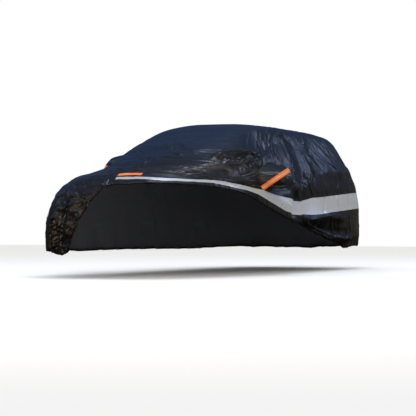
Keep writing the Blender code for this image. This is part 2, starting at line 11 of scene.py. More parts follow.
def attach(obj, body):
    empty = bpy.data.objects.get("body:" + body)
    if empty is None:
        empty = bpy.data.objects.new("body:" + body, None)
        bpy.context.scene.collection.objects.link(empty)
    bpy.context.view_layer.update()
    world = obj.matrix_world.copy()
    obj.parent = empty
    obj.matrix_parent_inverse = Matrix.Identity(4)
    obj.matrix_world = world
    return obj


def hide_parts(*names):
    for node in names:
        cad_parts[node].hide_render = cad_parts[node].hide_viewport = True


# A fitted car cover, lifted at its near front quarter.
# The front faces -Y, the near side is +X. The tables give heights above the ground.
print("loading the frame")
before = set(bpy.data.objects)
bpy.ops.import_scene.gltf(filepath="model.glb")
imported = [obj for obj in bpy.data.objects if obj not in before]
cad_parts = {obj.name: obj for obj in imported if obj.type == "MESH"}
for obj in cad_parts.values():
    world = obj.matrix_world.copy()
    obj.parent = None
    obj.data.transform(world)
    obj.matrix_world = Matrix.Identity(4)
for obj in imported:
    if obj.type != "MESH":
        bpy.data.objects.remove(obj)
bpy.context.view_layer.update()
random = np.random.default_rng(17)

cover = {
    "roofHeight": 1.585,     # ground to the origin
    "thick": 0.0012,         # coated polyester with its felt backing
    "hemRadius": 0.011,      # the elastic curls the hem under
    "spineShare": 0.012,     # where the rows start, next to the roof's centre line
    "crownShare": 0.07,
    "crownRows": 5,
    "roofRows": 22,          # from the crown to the roof seam
    "wallRows": 116,          # from the roof seam to the band
    "railShare": 5 / 12,     # where the roof seam lies between the crown and the band
    "bandRows": 10,
    "skirtRows": 52,
    "curlRows": 6,
    "tuckRows": 3,
    "sideFrom": 1.08,        # the side panels' end seams, metres round the cover
    "sideTo": 4.95,
    "bandTucked": (-0.72, 0.14),
}

railRow = cover["crownRows"] + cover["roofRows"]
canopyEnd = railRow + cover["wallRows"]
bandEnd = canopyEnd + cover["bandRows"]

# closed rings from the spine of the roof down to the hem
ringColumns = ("front", "rear", "halfF", "halfM", "halfR", "highF", "highM", "highR", "powF", "powR")
rings = {
    "spine":  (-0.10, 1.45, 0.000, 0.000, 0.000, 1.585, 1.610, 1.565, 4.0, 4.0),
    "crown":  (-0.30, 1.75, 0.300, 0.360, 0.360, 1.570, 1.590, 1.545, 4.0, 4.0),
    "rail":   (-0.46, 1.99, 0.560, 0.630, 0.665, 1.525, 1.535, 1.480, 4.0, 4.2),
    "glass":  (-0.92, 2.12, 0.700, 0.760, 0.785, 1.335, 1.330, 1.290, 4.0, 4.4),
    "cowl":   (-1.40, 2.23, 0.800, 0.870, 0.860, 1.100, 1.100, 1.090, 4.2, 4.8),
    "bonnet": (-1.80, 2.29, 0.800, 0.895, 0.885, 1.000, 0.990, 0.960, 3.6, 5.4),
    "lip":    (-2.14, 2.32, 0.800, 0.905, 0.900, 0.905, 0.880, 0.840, 3.5, 5.6),
    "nose":   (-2.26, 2.33, 0.840, 0.905, 0.905, 0.770, 0.740, 0.710, 4.4, 6.0),
    "bumper": (-2.30, 2.335, 0.870, 0.905, 0.905, 0.560, 0.560, 0.550, 5.2, 6.0),
    "sill":   (-2.30, 2.33, 0.875, 0.900, 0.900, 0.400, 0.400, 0.400, 5.4, 6.0),
    "hem":    (-2.28, 2.28, 0.870, 0.880, 0.880, 0.200, 0.215, 0.225, 5.4, 5.8),
}

# where the canopy, the silver band and the skirt end: metres round from the front
# centre (positive round the near side), then shares of the rib from spine to hem
edges = (
    (-5.92, 0.665, 0.755, 0.984), (-4.90, 0.668, 0.758, 0.978), (-4.00, 0.690, 0.780, 0.985),
    (-2.50, 0.725, 0.812, 0.982), (-1.60, 0.775, 0.850, 0.986), (-1.10, 0.812, 0.880, 0.980),
    (-0.84, 0.834, 0.888, 0.980), (-0.70, 0.842, 0.872, 0.982), (-0.62, 0.822, 0.870, 0.985),
    (-0.55, 0.790, 0.855, 0.989), (-0.45, 0.756, 0.830, 0.994), (-0.37, 0.744, 0.812, 0.985),
    (-0.30, 0.739, 0.793, 0.939), (-0.24, 0.736, 0.775, 0.888), (-0.19, 0.734, 0.760, 0.848),
    (-0.13, 0.732, 0.750, 0.795), (-0.05, 0.730, 0.743, 0.772), (0.07, 0.728, 0.738, 0.758),
    (0.42, 0.719, 0.735, 0.752), (0.66, 0.733, 0.749, 0.757), (0.84, 0.728, 0.743, 0.754),
    (1.05, 0.710, 0.726, 0.741), (1.18, 0.702, 0.722, 0.737), (1.40, 0.700, 0.726, 0.738),
    (1.60, 0.706, 0.729, 0.750), (1.83, 0.708, 0.744, 0.771), (2.12, 0.726, 0.773, 0.798),
    (2.37, 0.734, 0.793, 0.817), (2.65, 0.744, 0.815, 0.838), (2.93, 0.765, 0.827, 0.855),
    (3.10, 0.753, 0.818, 0.870), (3.33, 0.729, 0.812, 0.882), (3.61, 0.714, 0.800, 0.903),
    (3.86, 0.701, 0.787, 0.931), (4.13, 0.690, 0.779, 0.950), (4.45, 0.681, 0.771, 0.981),
    (4.85, 0.675, 0.763, 0.970), (5.20, 0.668, 0.757, 0.972),
)
hemTuck = ((-5.9, 0.012), (-0.5, 0.012), (-0.2, 0.02), (0.3, 0.05), (2.6, 0.06), (4.2, 0.012), (5.9, 0.012))
columnGaps = (
    (-5.92, 0.050), (-1.60, 0.050), (-0.95, 0.016), (-0.70, 0.009), (-0.10, 0.009), (0.10, 0.016),
    (0.80, 0.014), (0.95, 0.010), (3.10, 0.010), (3.30, 0.012), (4.90, 0.013), (5.20, 0.034), (5.92, 0.050),
)

# the large folds of the solids: (route as (around, share) places, width, height)
largeFolds = {
    "pillar":        (((0.97, 0.215), (1.27, 0.430)), 0.050, 0.014),
    "fan1":          (((1.00, 0.225), (1.46, 0.500)), 0.040, 0.014),
    "fan2":          (((1.10, 0.235), (1.66, 0.500)), 0.040, 0.014),
    "fan3":          (((1.25, 0.240), (1.92, 0.500)), 0.042, 0.014),
    "fanGap":        (((1.20, 0.330), (1.76, 0.508)), 0.045, -0.010),
    "mainRidge":     (((1.57, 0.246), (1.99, 0.338), (2.36, 0.504), (2.93, 0.760)), 0.050, 0.036),
    "ridgeFoot":     (((2.05, 0.320), (2.52, 0.470), (3.02, 0.720)), 0.060, -0.020),
    "rearFan1":      (((2.45, 0.290), (3.27, 0.588)), 0.050, 0.022),
    "rearFan2":      (((2.88, 0.340), (3.93, 0.554)), 0.055, 0.022),
    "rearGap":       (((2.70, 0.330), (3.60, 0.575)), 0.045, -0.014),
    "rearFan3":      (((3.70, 0.390), (4.42, 0.604)), 0.060, 0.014),
    "shoulder":      (((3.40, 0.571), (4.40, 0.560), (5.00, 0.545)), 0.060, 0.016),
    "cowlDip":       (((-0.75, 0.512), (-0.33, 0.483), (0.18, 0.487), (0.72, 0.546)), 0.050, -0.020),
    "bonnetFold1":   (((-0.31, 0.588), (0.47, 0.629), (0.83, 0.654)), 0.050, 0.014),
    "bonnetFold2":   (((-0.30, 0.665), (0.30, 0.680), (0.80, 0.700)), 0.045, 0.012),
    "bunchCrest":    (((0.70, 0.478), (0.78, 0.446), (1.19, 0.446), (1.34, 0.483)), 0.040, 0.050),
    "bunchFront":    (((0.85, 0.529), (1.09, 0.512), (1.26, 0.487)), 0.036, 0.030),
    "bunchEnd":      (((1.34, 0.483), (1.40, 0.554)), 0.035, 0.030),
    "bunchFoot":     (((0.76, 0.580), (1.02, 0.600), (1.24, 0.632)), 0.040, 0.018),
    "crumple1":      (((0.80, 0.700), (1.04, 0.690), (1.34, 0.665), (1.60, 0.640)), 0.042, 0.022),
    "crumple2":      (((1.30, 0.680), (1.60, 0.686), (1.90, 0.690)), 0.040, 0.018),
    "crumpleGap":    (((1.00, 0.660), (1.35, 0.630), (1.52, 0.590)), 0.042, -0.016),
    "pocketHollow":  (((1.95, 0.668), (2.25, 0.664), (2.50, 0.655)), 0.045, -0.030),
    "ripple":        (((2.50, 0.640), (2.84, 0.717)), 0.042, 0.018),
    "bandKink":      (((2.93, 0.730), (2.91, 0.845)), 0.045, -0.030),
    "bandRoll":      (((1.90, 0.730), (2.45, 0.765), (2.85, 0.800)), 0.040, 0.022),
    "skirtBelly":    (((2.98, 0.842), (3.35, 0.838), (3.80, 0.812), (4.40, 0.815)), 0.055, 0.030),
    "skirtSweep1":   (((3.20, 0.870), (3.80, 0.890), (4.50, 0.900)), 0.050, -0.016),
    "skirtSweep2":   (((3.70, 0.920), (4.30, 0.935), (4.90, 0.900)), 0.045, 0.018),
    "flapFold":      (((-0.60, 0.800), (-0.42, 0.840), (-0.41, 0.896), (-0.45, 0.985)), 0.034, -0.028),
    "flapLip":       (((-0.44, 0.785), (-0.35, 0.815), (-0.33, 0.860), (-0.38, 0.960)), 0.040, 0.028),
    "cornerFold1":   (((-0.54, 0.855), (-0.53, 0.985)), 0.028, 0.028),
    "cornerGap1":    (((-0.61, 0.860), (-0.60, 0.985)), 0.026, -0.018),
    "cornerFold2":   (((-0.69, 0.880), (-0.67, 0.985)), 0.030, 0.012),
    "cornerFold3":   (((-0.86, 0.900), (-0.84, 0.985)), 0.040, 0.008),
    "wingFold":      (((-0.95, 0.560), (-0.78, 0.680), (-0.72, 0.800)), 0.050, 0.014),
    "screen1":       (((-0.60, 0.340), (-0.10, 0.330), (0.45, 0.300)), 0.070, 0.010),
    "screen2":       (((-0.20, 0.430), (0.30, 0.400), (0.62, 0.380)), 0.060, 0.012),
    "header":        (((-0.60, 0.230), (0.00, 0.170), (0.70, 0.220)), 0.080, -0.008),
    "farRidge":      (((-1.50, 0.246), (-2.10, 0.400), (-2.60, 0.660)), 0.060, 0.030),
    "farFold1":      (((-2.50, 0.290), (-3.10, 0.600)), 0.060, 0.022),
    "farFold2":      (((-3.30, 0.320), (-3.90, 0.610)), 0.065, 0.024),
    "farFold3":      (((-4.30, 0.330), (-4.60, 0.640)), 0.070, 0.018),
    "farSkirt1":     (((-1.90, 0.880), (-2.00, 0.985)), 0.060, 0.022),
    "farSkirt2":     (((-2.90, 0.850), (-3.00, 0.985)), 0.070, 0.022),
    "farSkirt3":     (((-4.10, 0.830), (-4.20, 0.985)), 0.070, 0.022),
    "tailFold1":     (((5.35, 0.300), (5.45, 0.640)), 0.080, 0.020),
    "tailFold2":     (((-5.50, 0.300), (-5.35, 0.640)), 0.080, 0.018),
    "tailSkirt":     (((5.60, 0.800), (5.75, 0.985)), 0.080, 0.024),
}
foldEnds = {"taper": 0.16, "left": 0.25, "crisp": 1.5}

# the creases that show from close by, placed one by one
fineFolds = {
    "fanRidge1":     (((1.00, 0.233), (1.15, 0.325), (1.30, 0.404), (1.47, 0.483)), 0.018, 0.012),
    "fanGap1":       (((1.10, 0.225), (1.24, 0.317), (1.39, 0.392), (1.60, 0.479)), 0.018, -0.010),
    "fanRidge2":     (((1.23, 0.221), (1.35, 0.304), (1.53, 0.396), (1.73, 0.475)), 0.017, 0.012),
    "fanGap2":       (((1.36, 0.217), (1.44, 0.292), (1.65, 0.383), (1.89, 0.475)), 0.017, -0.011),
    "fanRidge3":     (((1.39, 0.263), (1.59, 0.367), (1.74, 0.450)), 0.014, 0.010),
    "fanGap3":       (((1.58, 0.212), (1.61, 0.292), (1.85, 0.371), (2.04, 0.450)), 0.018, -0.010),
    "mainCrest":     (((1.75, 0.230), (2.06, 0.358), (2.21, 0.442), (2.37, 0.525), (2.69, 0.662)), 0.018, 0.012),
    "mainGap":       (((1.91, 0.279), (2.17, 0.358), (2.38, 0.450), (2.54, 0.546), (2.94, 0.683)), 0.020, -0.014),
    "rearRidge1":    (((1.96, 0.271), (2.29, 0.333), (2.67, 0.425), (3.03, 0.521), (3.41, 0.621)), 0.022, 0.012),
    "rearGap1":      (((2.30, 0.283), (2.73, 0.367), (3.30, 0.471), (3.81, 0.613)), 0.022, -0.010),
    "rearRidge2":    (((2.75, 0.300), (3.43, 0.396), (3.79, 0.475), (4.35, 0.575)), 0.024, 0.011),
    "rearGap2":      (((3.58, 0.346), (3.93, 0.408), (4.27, 0.479), (4.55, 0.529)), 0.024, -0.009),
    "rearRidge3":    (((3.95, 0.367), (4.29, 0.429), (4.60, 0.504), (4.92, 0.546)), 0.026, 0.010),
    "lowRidge1":     (((3.41, 0.621), (3.52, 0.708)), 0.020, 0.008),
    "lowRidge2":     (((3.71, 0.588), (3.78, 0.696)), 0.020, 0.008),
    "lowRidge3":     (((4.15, 0.575), (4.09, 0.679)), 0.022, 0.008),
    "lowRidge4":     (((4.73, 0.554), (4.46, 0.671)), 0.022, 0.008),
    "blueRidge":     (((2.64, 0.529), (3.16, 0.650), (3.38, 0.717)), 0.022, 0.012),
    "streak1":       (((0.38, 0.462), (0.53, 0.471), (0.73, 0.504), (0.85, 0.529)), 0.014, 0.008),
    "streak2":       (((0.07, 0.540), (0.51, 0.550), (0.64, 0.567), (0.77, 0.579)), 0.014, 0.008),
    "streak3":       (((0.40, 0.640), (0.67, 0.658), (0.91, 0.662), (1.07, 0.650), (1.24, 0.629)), 0.014, 0.010),
    "bunchTop":      (((0.74, 0.487), (0.78, 0.458), (0.90, 0.471), (1.06, 0.446), (1.25, 0.467)), 0.013, 0.012),
    "bunchTail":     (((1.25, 0.467), (1.47, 0.517)), 0.014, 0.014),
    "bunchEdge":     (((0.85, 0.529), (0.96, 0.550), (1.06, 0.542), (1.17, 0.508), (1.35, 0.487)), 0.012, 0.014),
    "bunchUnder":    (((0.88, 0.505), (0.98, 0.520), (1.10, 0.505), (1.22, 0.485)), 0.018, -0.026),
    "bunchRib1":     (((0.80, 0.470), (0.92, 0.530)), 0.014, 0.012),
    "bunchRib2":     (((0.95, 0.455), (1.05, 0.530)), 0.014, -0.011),
    "bunchRib3":     (((1.10, 0.450), (1.14, 0.510)), 0.014, 0.012),
    "bunchRib4":     (((1.24, 0.475), (1.20, 0.550)), 0.014, -0.011),
    "patchLeft":     (((0.77, 0.579), (0.90, 0.658)), 0.012, 0.008),
    "patchTop":      (((0.77, 0.579), (0.78, 0.546), (0.85, 0.529)), 0.012, 0.008),
    "patchSeam":     (((1.24, 0.629), (1.30, 0.575), (1.35, 0.504)), 0.012, 0.010),
    "pocketBrow":    (((1.42, 0.642), (1.50, 0.592), (1.57, 0.546), (1.80, 0.504)), 0.020, 0.020),
    "pocketTail":    (((1.33, 0.667), (1.44, 0.604), (1.55, 0.567)), 0.014, 0.010),
    "tailLow":       (((1.34, 0.671), (1.55, 0.658), (1.78, 0.654)), 0.014, 0.010),
    "midRidge":      (((1.53, 0.696), (1.65, 0.662), (1.82, 0.650)), 0.014, -0.010),
    "bandTwist":     (((1.73, 0.704), (2.09, 0.746), (2.38, 0.754)), 0.014, 0.010),
    "bandFold":      (((2.38, 0.767), (2.72, 0.812), (2.93, 0.829)), 0.014, 0.010),
    "bandCrease":    (((2.96, 0.762), (2.93, 0.796), (2.94, 0.829)), 0.014, -0.012),
    "bandWave1":     (((3.38, 0.721), (3.48, 0.804)), 0.030, 0.014),
    "bandWave2":     (((4.06, 0.696), (4.15, 0.779)), 0.035, 0.014),
    "bandWave3":     (((3.72, 0.708), (3.66, 0.796)), 0.030, -0.012),
    "bandWave4":     (((4.45, 0.681), (4.52, 0.770)), 0.035, -0.012),
    "skirtBlue":     (((3.23, 0.842), (3.55, 0.817), (3.93, 0.800)), 0.022, 0.010),
    "skirtSheen":    (((4.44, 0.787), (4.56, 0.900)), 0.030, 0.010),
    "skirtLow":      (((3.04, 0.850), (3.56, 0.883), (4.04, 0.921), (4.78, 0.938)), 0.020, 0.010),
    "skirtMid":      (((3.84, 0.833), (3.95, 0.887), (4.25, 0.933)), 0.018, 0.008),
    "cowlLine":      (((-0.56, 0.521), (-0.28, 0.504), (0.10, 0.525), (0.43, 0.533), (0.69, 0.571)), 0.014, 0.010),
    "cowlLow":       (((0.07, 0.571), (0.44, 0.600), (0.73, 0.671), (0.88, 0.654)), 0.014, -0.010),
    "bonnetTop":     (((-0.53, 0.550), (-0.27, 0.558), (0.21, 0.617)), 0.018, 0.008),
    "bonnetDark":    (((0.07, 0.571), (0.45, 0.608), (0.69, 0.671), (0.88, 0.704)), 0.016, -0.008),
    "bonnetLight":   (((-0.33, 0.650), (-0.23, 0.629), (-0.01, 0.625), (0.40, 0.696)), 0.016, 0.012),
    "screenLine1":   (((-0.51, 0.446), (-0.33, 0.362), (-0.07, 0.300), (0.37, 0.292)), 0.024, 0.006),
    "screenLine2":   (((-0.53, 0.483), (-0.27, 0.429), (0.14, 0.417), (0.47, 0.446)), 0.022, 0.006),
    "screenLine3":   (((-0.21, 0.496), (-0.11, 0.412), (0.22, 0.358), (0.58, 0.367)), 0.022, 0.005),
    "flapRidge1":    (((-0.54, 0.775), (-0.41, 0.767), (-0.26, 0.767), (-0.07, 0.775)), 0.013, 0.011),
    "flapRidge2":    (((-0.51, 0.792), (-0.41, 0.787), (-0.27, 0.796), (-0.15, 0.804)), 0.012, 0.012),
    "flapRidge3":    (((-0.44, 0.817), (-0.33, 0.812), (-0.23, 0.812)), 0.012, 0.012),
    "flapRidge4":    (((-0.39, 0.833), (-0.30, 0.838), (-0.24, 0.833)), 0.012, 0.010),
    "flapRidge5":    (((-0.38, 0.854), (-0.29, 0.858), (-0.24, 0.854)), 0.012, 0.010),
    "flapRidge6":    (((-0.37, 0.879), (-0.30, 0.879), (-0.26, 0.883)), 0.012, 0.010),
    "wingRidge1":    (((-0.42, 0.833), (-0.47, 0.862), (-0.53, 0.933), (-0.56, 0.971)), 0.014, 0.012),
    "wingRidge2":    (((-0.47, 0.838), (-0.53, 0.871), (-0.57, 0.900)), 0.014, 0.010),
    "wingGap":       (((-0.41, 0.850), (-0.45, 0.896), (-0.48, 0.954)), 0.014, -0.012),
    "wingBlue":      (((-0.70, 0.750), (-0.72, 0.775), (-0.72, 0.821)), 0.024, 0.010),
}

# small creases scattered by zone: lean is degrees off the rib, 90 runs round the cover
creaseColumns = ("start", "end", "top", "foot", "count", "lean", "spread", "long", "wide", "high")
creaseZones = {
    "screen":    (-0.70, 0.95, 0.20, 0.47, 46, 66, 18, 0.55, 0.026, 0.0075),
    "bonnet":    (-0.30, 1.05, 0.50, 0.71, 90, 84, 14, 0.38, 0.016, 0.0095),
    "bunch":     (0.76, 1.34, 0.45, 0.60, 8, 60, 60, 0.15, 0.014, 0.0080),
    "fan":       (0.95, 2.20, 0.23, 0.55, 40, 24, 9, 0.55, 0.014, 0.0045),
    "pocket":    (1.10, 2.50, 0.50, 0.71, 60, 62, 26, 0.22, 0.015, 0.0075),
    "rearFan":   (2.20, 4.90, 0.28, 0.62, 60, 48, 10, 0.70, 0.020, 0.0045),
    "rearLow":   (2.60, 5.00, 0.58, 0.71, 60, 12, 16, 0.24, 0.020, 0.0045),
    "roofSide":  (-1.20, 5.60, 0.08, 0.24, 70, 40, 40, 0.40, 0.030, 0.0022),
    "band":      (1.40, 5.60, 0.72, 0.83, 24, 10, 20, 0.16, 0.026, 0.0030),
    "skirt":     (2.80, 5.60, 0.82, 0.97, 60, 30, 30, 0.25, 0.020, 0.0050),
    "flap":      (-0.62, 0.10, 0.75, 0.98, 150, 74, 30, 0.13, 0.011, 0.0140),
    "corner":    (-1.20, -0.42, 0.80, 0.98, 60, 14, 14, 0.25, 0.014, 0.0095),
    "farScreen": (-2.10, -0.80, 0.24, 0.76, 60, 30, 30, 0.35, 0.030, 0.0040),
    "farSide":   (-5.00, -1.60, 0.24, 0.72, 110, 34, 24, 0.45, 0.034, 0.0060),
    "farSkirt":  (-5.30, -1.10, 0.80, 0.97, 70, 12, 20, 0.25, 0.034, 0.0060),
    "tail":      (5.00, 6.85, 0.24, 0.97, 90, 14, 26, 0.40, 0.034, 0.0060),
}


def smoothStep(x):
    x = np.clip(x, 0, 1)
    return x * x * (3 - 2 * x)


def ringPoints(sizes, angle):
    ring = dict(zip(ringColumns, sizes))
    cos, sin = np.cos(angle), np.sin(angle)
    power = np.where(cos > 0, ring["powF"], ring["powR"])
    across = np.sign(sin) * np.abs(sin) ** (2 / power)
    along = -np.sign(cos) * np.abs(cos) ** (2 / power)

    def blend(front, middle, rear):
        return middle + (rear - front) / 2 * along + ((front + rear) / 2 - middle) * along ** 2

    x = blend(ring["halfF"], ring["halfM"], ring["halfR"]) * across
    y = (ring["front"] + ring["rear"]) / 2 + along * (ring["rear"] - ring["front"]) / 2
    z = blend(ring["highF"], ring["highM"], ring["highR"]) - cover["roofHeight"]
    return np.stack([x, y, z], -1)


fineSteps = 20001
roundAngles = np.linspace(0, 2 * math.pi, fineSteps)
ringSteps = np.linalg.norm(np.diff(ringPoints(rings["bumper"], roundAngles), axis=0), axis=1)
roundMetres = np.concatenate([[0], np.cumsum(ringSteps)])
wayRound = roundMetres[-1]


def ribPoints(around):
    angles = np.interp(np.mod(around, wayRound), roundMetres, roundAngles)
    return np.stack([ringPoints(sizes, angles) for sizes in rings.values()], 1)


def alongRibs(ribs, share):
    # smooth points at shares of each rib's length
    gaps = np.linalg.norm(np.diff(ribs, axis=1), axis=2)
    knots = np.concatenate([np.zeros((len(ribs), 1)), np.cumsum(gaps, 1)], 1)
    slopes = np.diff(ribs, axis=1) / gaps[..., None]
    before, after = gaps[:, :-1, None], gaps[:, 1:, None]
    middle = (slopes[:, :-1] * after + slopes[:, 1:] * before) / (before + after)
    tangents = np.concatenate([slopes[:, :1], middle, slopes[:, -1:]], 1)
    length = share * knots[:, -1:]
    left = (length[..., None] >= knots[:, None, 1:-1]).sum(-1)
    row = np.arange(len(ribs))[:, None]
    span = gaps[row, left]
    t = ((length - knots[row, left]) / span)[..., None]
    start, end = ribs[row, left], ribs[row, left + 1]
    leave = tangents[row, left] * span[..., None]
    arrive = tangents[row, left + 1] * span[..., None]
    return ((2 * t ** 3 - 3 * t ** 2 + 1) * start + (t ** 3 - 2 * t ** 2 + t) * leave
            + (3 * t ** 2 - 2 * t ** 3) * end + (t ** 3 - t ** 2) * arrive)


def ribLengths(around):
    return np.linalg.norm(np.diff(ribPoints(around), axis=1), axis=2).sum(1)


def routePoints(route, steps=8):
    places = np.array(route, float)
    stops = np.linspace(0, len(places) - 1, steps * (len(places) - 1) + 1)
    around = np.interp(stops, np.arange(len(places)), places[:, 0])
    share = np.interp(stops, np.arange(len(places)), places[:, 1])
    return alongRibs(ribPoints(around), share[:, None])[:, 0]


def nearRoute(points, chain):
    # distance to a chain of points, and how far along it (0 to 1)
    best = np.full(len(points), np.inf)
    along = np.zeros(len(points))
    for number, (start, end) in enumerate(zip(chain[:-1], chain[1:])):
        step = end - start
        t = np.clip((points - start) @ step / (step @ step), 0, 1)
        apart = np.linalg.norm(points - start - t[:, None] * step, axis=1)
        closer = apart < best
        best = np.where(closer, apart, best)
        along = np.where(closer, (number + t) / (len(chain) - 1), along)
    return best, along


def raiseFold(lift, points, chain, wide, high, sharp):
    reach = 3.2 * wide
    inside = ((points > chain.min(0) - reach) & (points < chain.max(0) + reach)).all(1)
    near = np.flatnonzero(inside)
    if not len(near):
        return
    apart, along = nearRoute(points[near], chain)
    taper, left = foldEnds["taper"], foldEnds["left"]
    ends = smoothStep(along / taper) * smoothStep((1 - along) / taper)
    form = np.exp(-(apart / wide) ** 2)
    if sharp:     # a crease has a crisp crest and a shallow trough each side
        form = 1.25 * np.exp(-1.3 * np.sqrt((apart / wide) ** 2 + 0.05)) - 0.35 * np.exp(-(apart / wide / 2) ** 2)
        left = 0.0
    lift[near] += high * form * (left + (1 - left) * ends)


def gridNormals(points):
    roundStep = np.roll(points, -1, 0) - np.roll(points, 1, 0)
    normals = np.cross(np.gradient(points, axis=1), roundStep)
    return normals / np.linalg.norm(normals, axis=2, keepdims=True)


def columnPlaces():
    table = np.array(columnGaps)
    fine = np.linspace(-wayRound / 2, wayRound / 2, fineSteps)
    density = 1 / np.interp(fine, table[:, 0], table[:, 1])
    total = np.concatenate([[0], np.cumsum((density[1:] + density[:-1]) / 2 * np.diff(fine))])
    count = round(total[-1])
    return np.interp(np.arange(count) / count * total[-1], total, fine)


def edgeShares(around):
    table = np.array(edges)
    table = np.vstack([table, table[0] + np.array((wayRound, 0, 0, 0))])
    where = np.mod(around - table[0, 0], wayRound) + table[0, 0]
    return [np.interp(where, table[:, 0], table[:, column]) for column in (1, 2, 3)]


def rowShares(around):
    canopy, band, hem = edgeShares(around)
    spine = np.full_like(canopy, cover["spineShare"])
    crown = np.full_like(canopy, cover["crownShare"])
    rail = crown + (canopy - crown) * cover["railShare"]
    parts = []
    for top, foot, rows in ((spine, crown, cover["crownRows"]), (crown, rail, cover["roofRows"]),
                            (rail, canopy, cover["wallRows"]), (canopy, band, cover["bandRows"]),
                            (band, hem, cover["skirtRows"])):
        parts.append(top[:, None] + (foot - top)[:, None] * np.arange(rows) / rows)
    parts.append(hem[:, None])
    return np.concatenate(parts, 1)


# the elastic in the hem: wave length, height and how far up the cloth it pulls
elasticColumns = ("around", "wave", "high", "reach")
elastic = (
    (-5.92, 0.090, 0.0070, 0.16), (-1.30, 0.090, 0.0070, 0.16), (-0.85, 0.055, 0.0080, 0.20),
    (-0.60, 0.042, 0.0085, 0.24), (-0.25, 0.040, 0.0080, 0.24), (0.00, 0.045, 0.0060, 0.10),
    (0.40, 0.060, 0.0030, 0.06), (2.40, 0.060, 0.0030, 0.06), (3.30, 0.055, 0.0050, 0.09),
    (4.10, 0.050, 0.0090, 0.16), (4.90, 0.055, 0.0090, 0.18), (5.92, 0.090, 0.0070, 0.16),
)


def gatherHem(points, normals, around, hemRow):
    # ripples square to the hem that merge into wider ones further up
    hem = points[:, hemRow]
    steps = np.linalg.norm(np.roll(hem, -1, 0) - hem, axis=1)
    table = np.array(elastic)
    wave, high, reach = (np.interp(around, table[:, 0], table[:, k]) for k in (1, 2, 3))
    phase = np.concatenate([[0], np.cumsum(steps / wave)[:-1]])
    phase += 0.35 * np.sin(phase * 1.7 + 0.4) + 0.30 * np.sin(phase * 0.61 + 2.0)
    swing = 0.75 + 0.25 * np.sin(phase * 0.93 + 1.0) + 0.2 * np.sin(phase * 0.37)
    tree = KDTree(len(hem))
    for number, corner in enumerate(hem):
        tree.insert(corner, number)
    tree.balance()
    lift = np.zeros(points.shape[:2])
    firstRow = canopyEnd - 14
    for column in range(len(around)):
        for row in range(firstRow, hemRow + 1):
            spot, number, apart = tree.find(points[column, row])
            deep = apart / reach[number]
            if deep > 2.2:
                continue
            turn = 2 * math.pi * phase[number]
            bend = 0.5 * math.sin(9 * apart + phase[number])
            ripple = math.exp(-(deep * 2.6) ** 1.4) * math.sin(turn + bend)
            ripple += 0.8 * math.exp(-(deep * 1.5) ** 2) * math.sin(turn / 2 + bend + 0.7)
            ripple += 0.9 * math.exp(-(deep * 0.9) ** 2) * math.sin(turn / 4.1 + 2.1)
            lift[column, row] = high[number] * swing[number] * ripple * 0.75
    return points + normals * lift[..., None]


def foldCloth(points, normals, around, share):
    flat = points.reshape(-1, 3)
    lift = np.zeros(len(flat))
    for route, wide, high in largeFolds.values():
        raiseFold(lift, flat, routePoints(route), wide, high, False)
    lift += 0.004 * np.sin(flat @ (0.0, 5.1, 3.3) + 1.0) + 0.003 * np.sin(flat @ (8.3, -6.1, 0.0) + 2.0)
    gathered = smoothStep((share.reshape(-1) - 0.78) / 0.20)
    turns = 2 * math.pi * np.repeat(around, share.shape[1])
    lift += gathered * (0.008 * np.sin(turns / 0.410) + 0.005 * np.sin(turns / 0.263 + 1.0))
    for route, wide, high in fineFolds.values():
        raiseFold(lift, flat, routePoints(route), wide, high * foldEnds["crisp"], True)
    for sizes in creaseZones.values():
        zone = dict(zip(creaseColumns, sizes))
        for _ in range(zone["count"]):
            place = random.uniform(zone["start"], zone["end"])
            share0 = random.uniform(zone["top"], zone["foot"])
            lean = math.radians(zone["lean"] + random.uniform(-1, 1) * zone["spread"])
            long = zone["long"] * random.uniform(0.5, 1.3)
            bow = random.uniform(-0.12, 0.12) * long
            length = ribLengths(np.array([place]))[0]
            side = 1 if place > -0.3 else -1
            route = []
            for stop in (-0.5, -0.25, 0.0, 0.25, 0.5):
                bend = bow * (1 - 4 * stop * stop)
                down = long * stop * math.cos(lean) - bend * math.sin(lean)
                over = long * stop * math.sin(lean) + bend * math.cos(lean)
                route.append((place + side * over, min(max(share0 + down / length, 0.03), 0.995)))
            high = zone["high"] * random.uniform(0.5, 1.4) * (1 if random.random() < 0.7 else -0.8)
            raiseFold(lift, flat, routePoints(route, 3), zone["wide"] * random.uniform(0.7, 1.3), high, True)
    return points + normals * lift.reshape(points.shape[:2])[..., None]


def curlHem(points, normals, around, share, hemRow):
    # the cloth goes round the elastic and back up inside
    edge, out = points[:, hemRow], normals[:, hemRow]
    down = np.cross(np.roll(edge, -1, 0) - np.roll(edge, 1, 0), out)
    down /= np.linalg.norm(down, axis=1, keepdims=True)
    radius = cover["hemRadius"]
    rows = [edge + radius * (math.sin(turn) * down - (1 - math.cos(turn)) * out)
            for turn in np.linspace(0, math.pi, cover["curlRows"])[1:]]
    tuck = np.interp(around, *np.array(hemTuck).T)
    lengths = np.linalg.norm(np.diff(points, axis=1), axis=2)[:, ::-1].cumsum(1)
    for part in np.linspace(0, 1, cover["tuckRows"] + 1)[1:]:
        inside = np.empty_like(edge)
        for column in range(len(around)):
            reach = tuck[column] * part
            row = np.searchsorted(lengths[column], reach)
            before = lengths[column][row - 1] if row else 0.0
            t = (reach - before) / (lengths[column][row] - before)
            here, above = hemRow - row, hemRow - row - 1
            spot = points[column, here] * (1 - t) + points[column, above] * t
            inside[column] = spot - normals[column, here] * 2 * radius
        rows.append(inside)
    return np.stack(rows, 1)


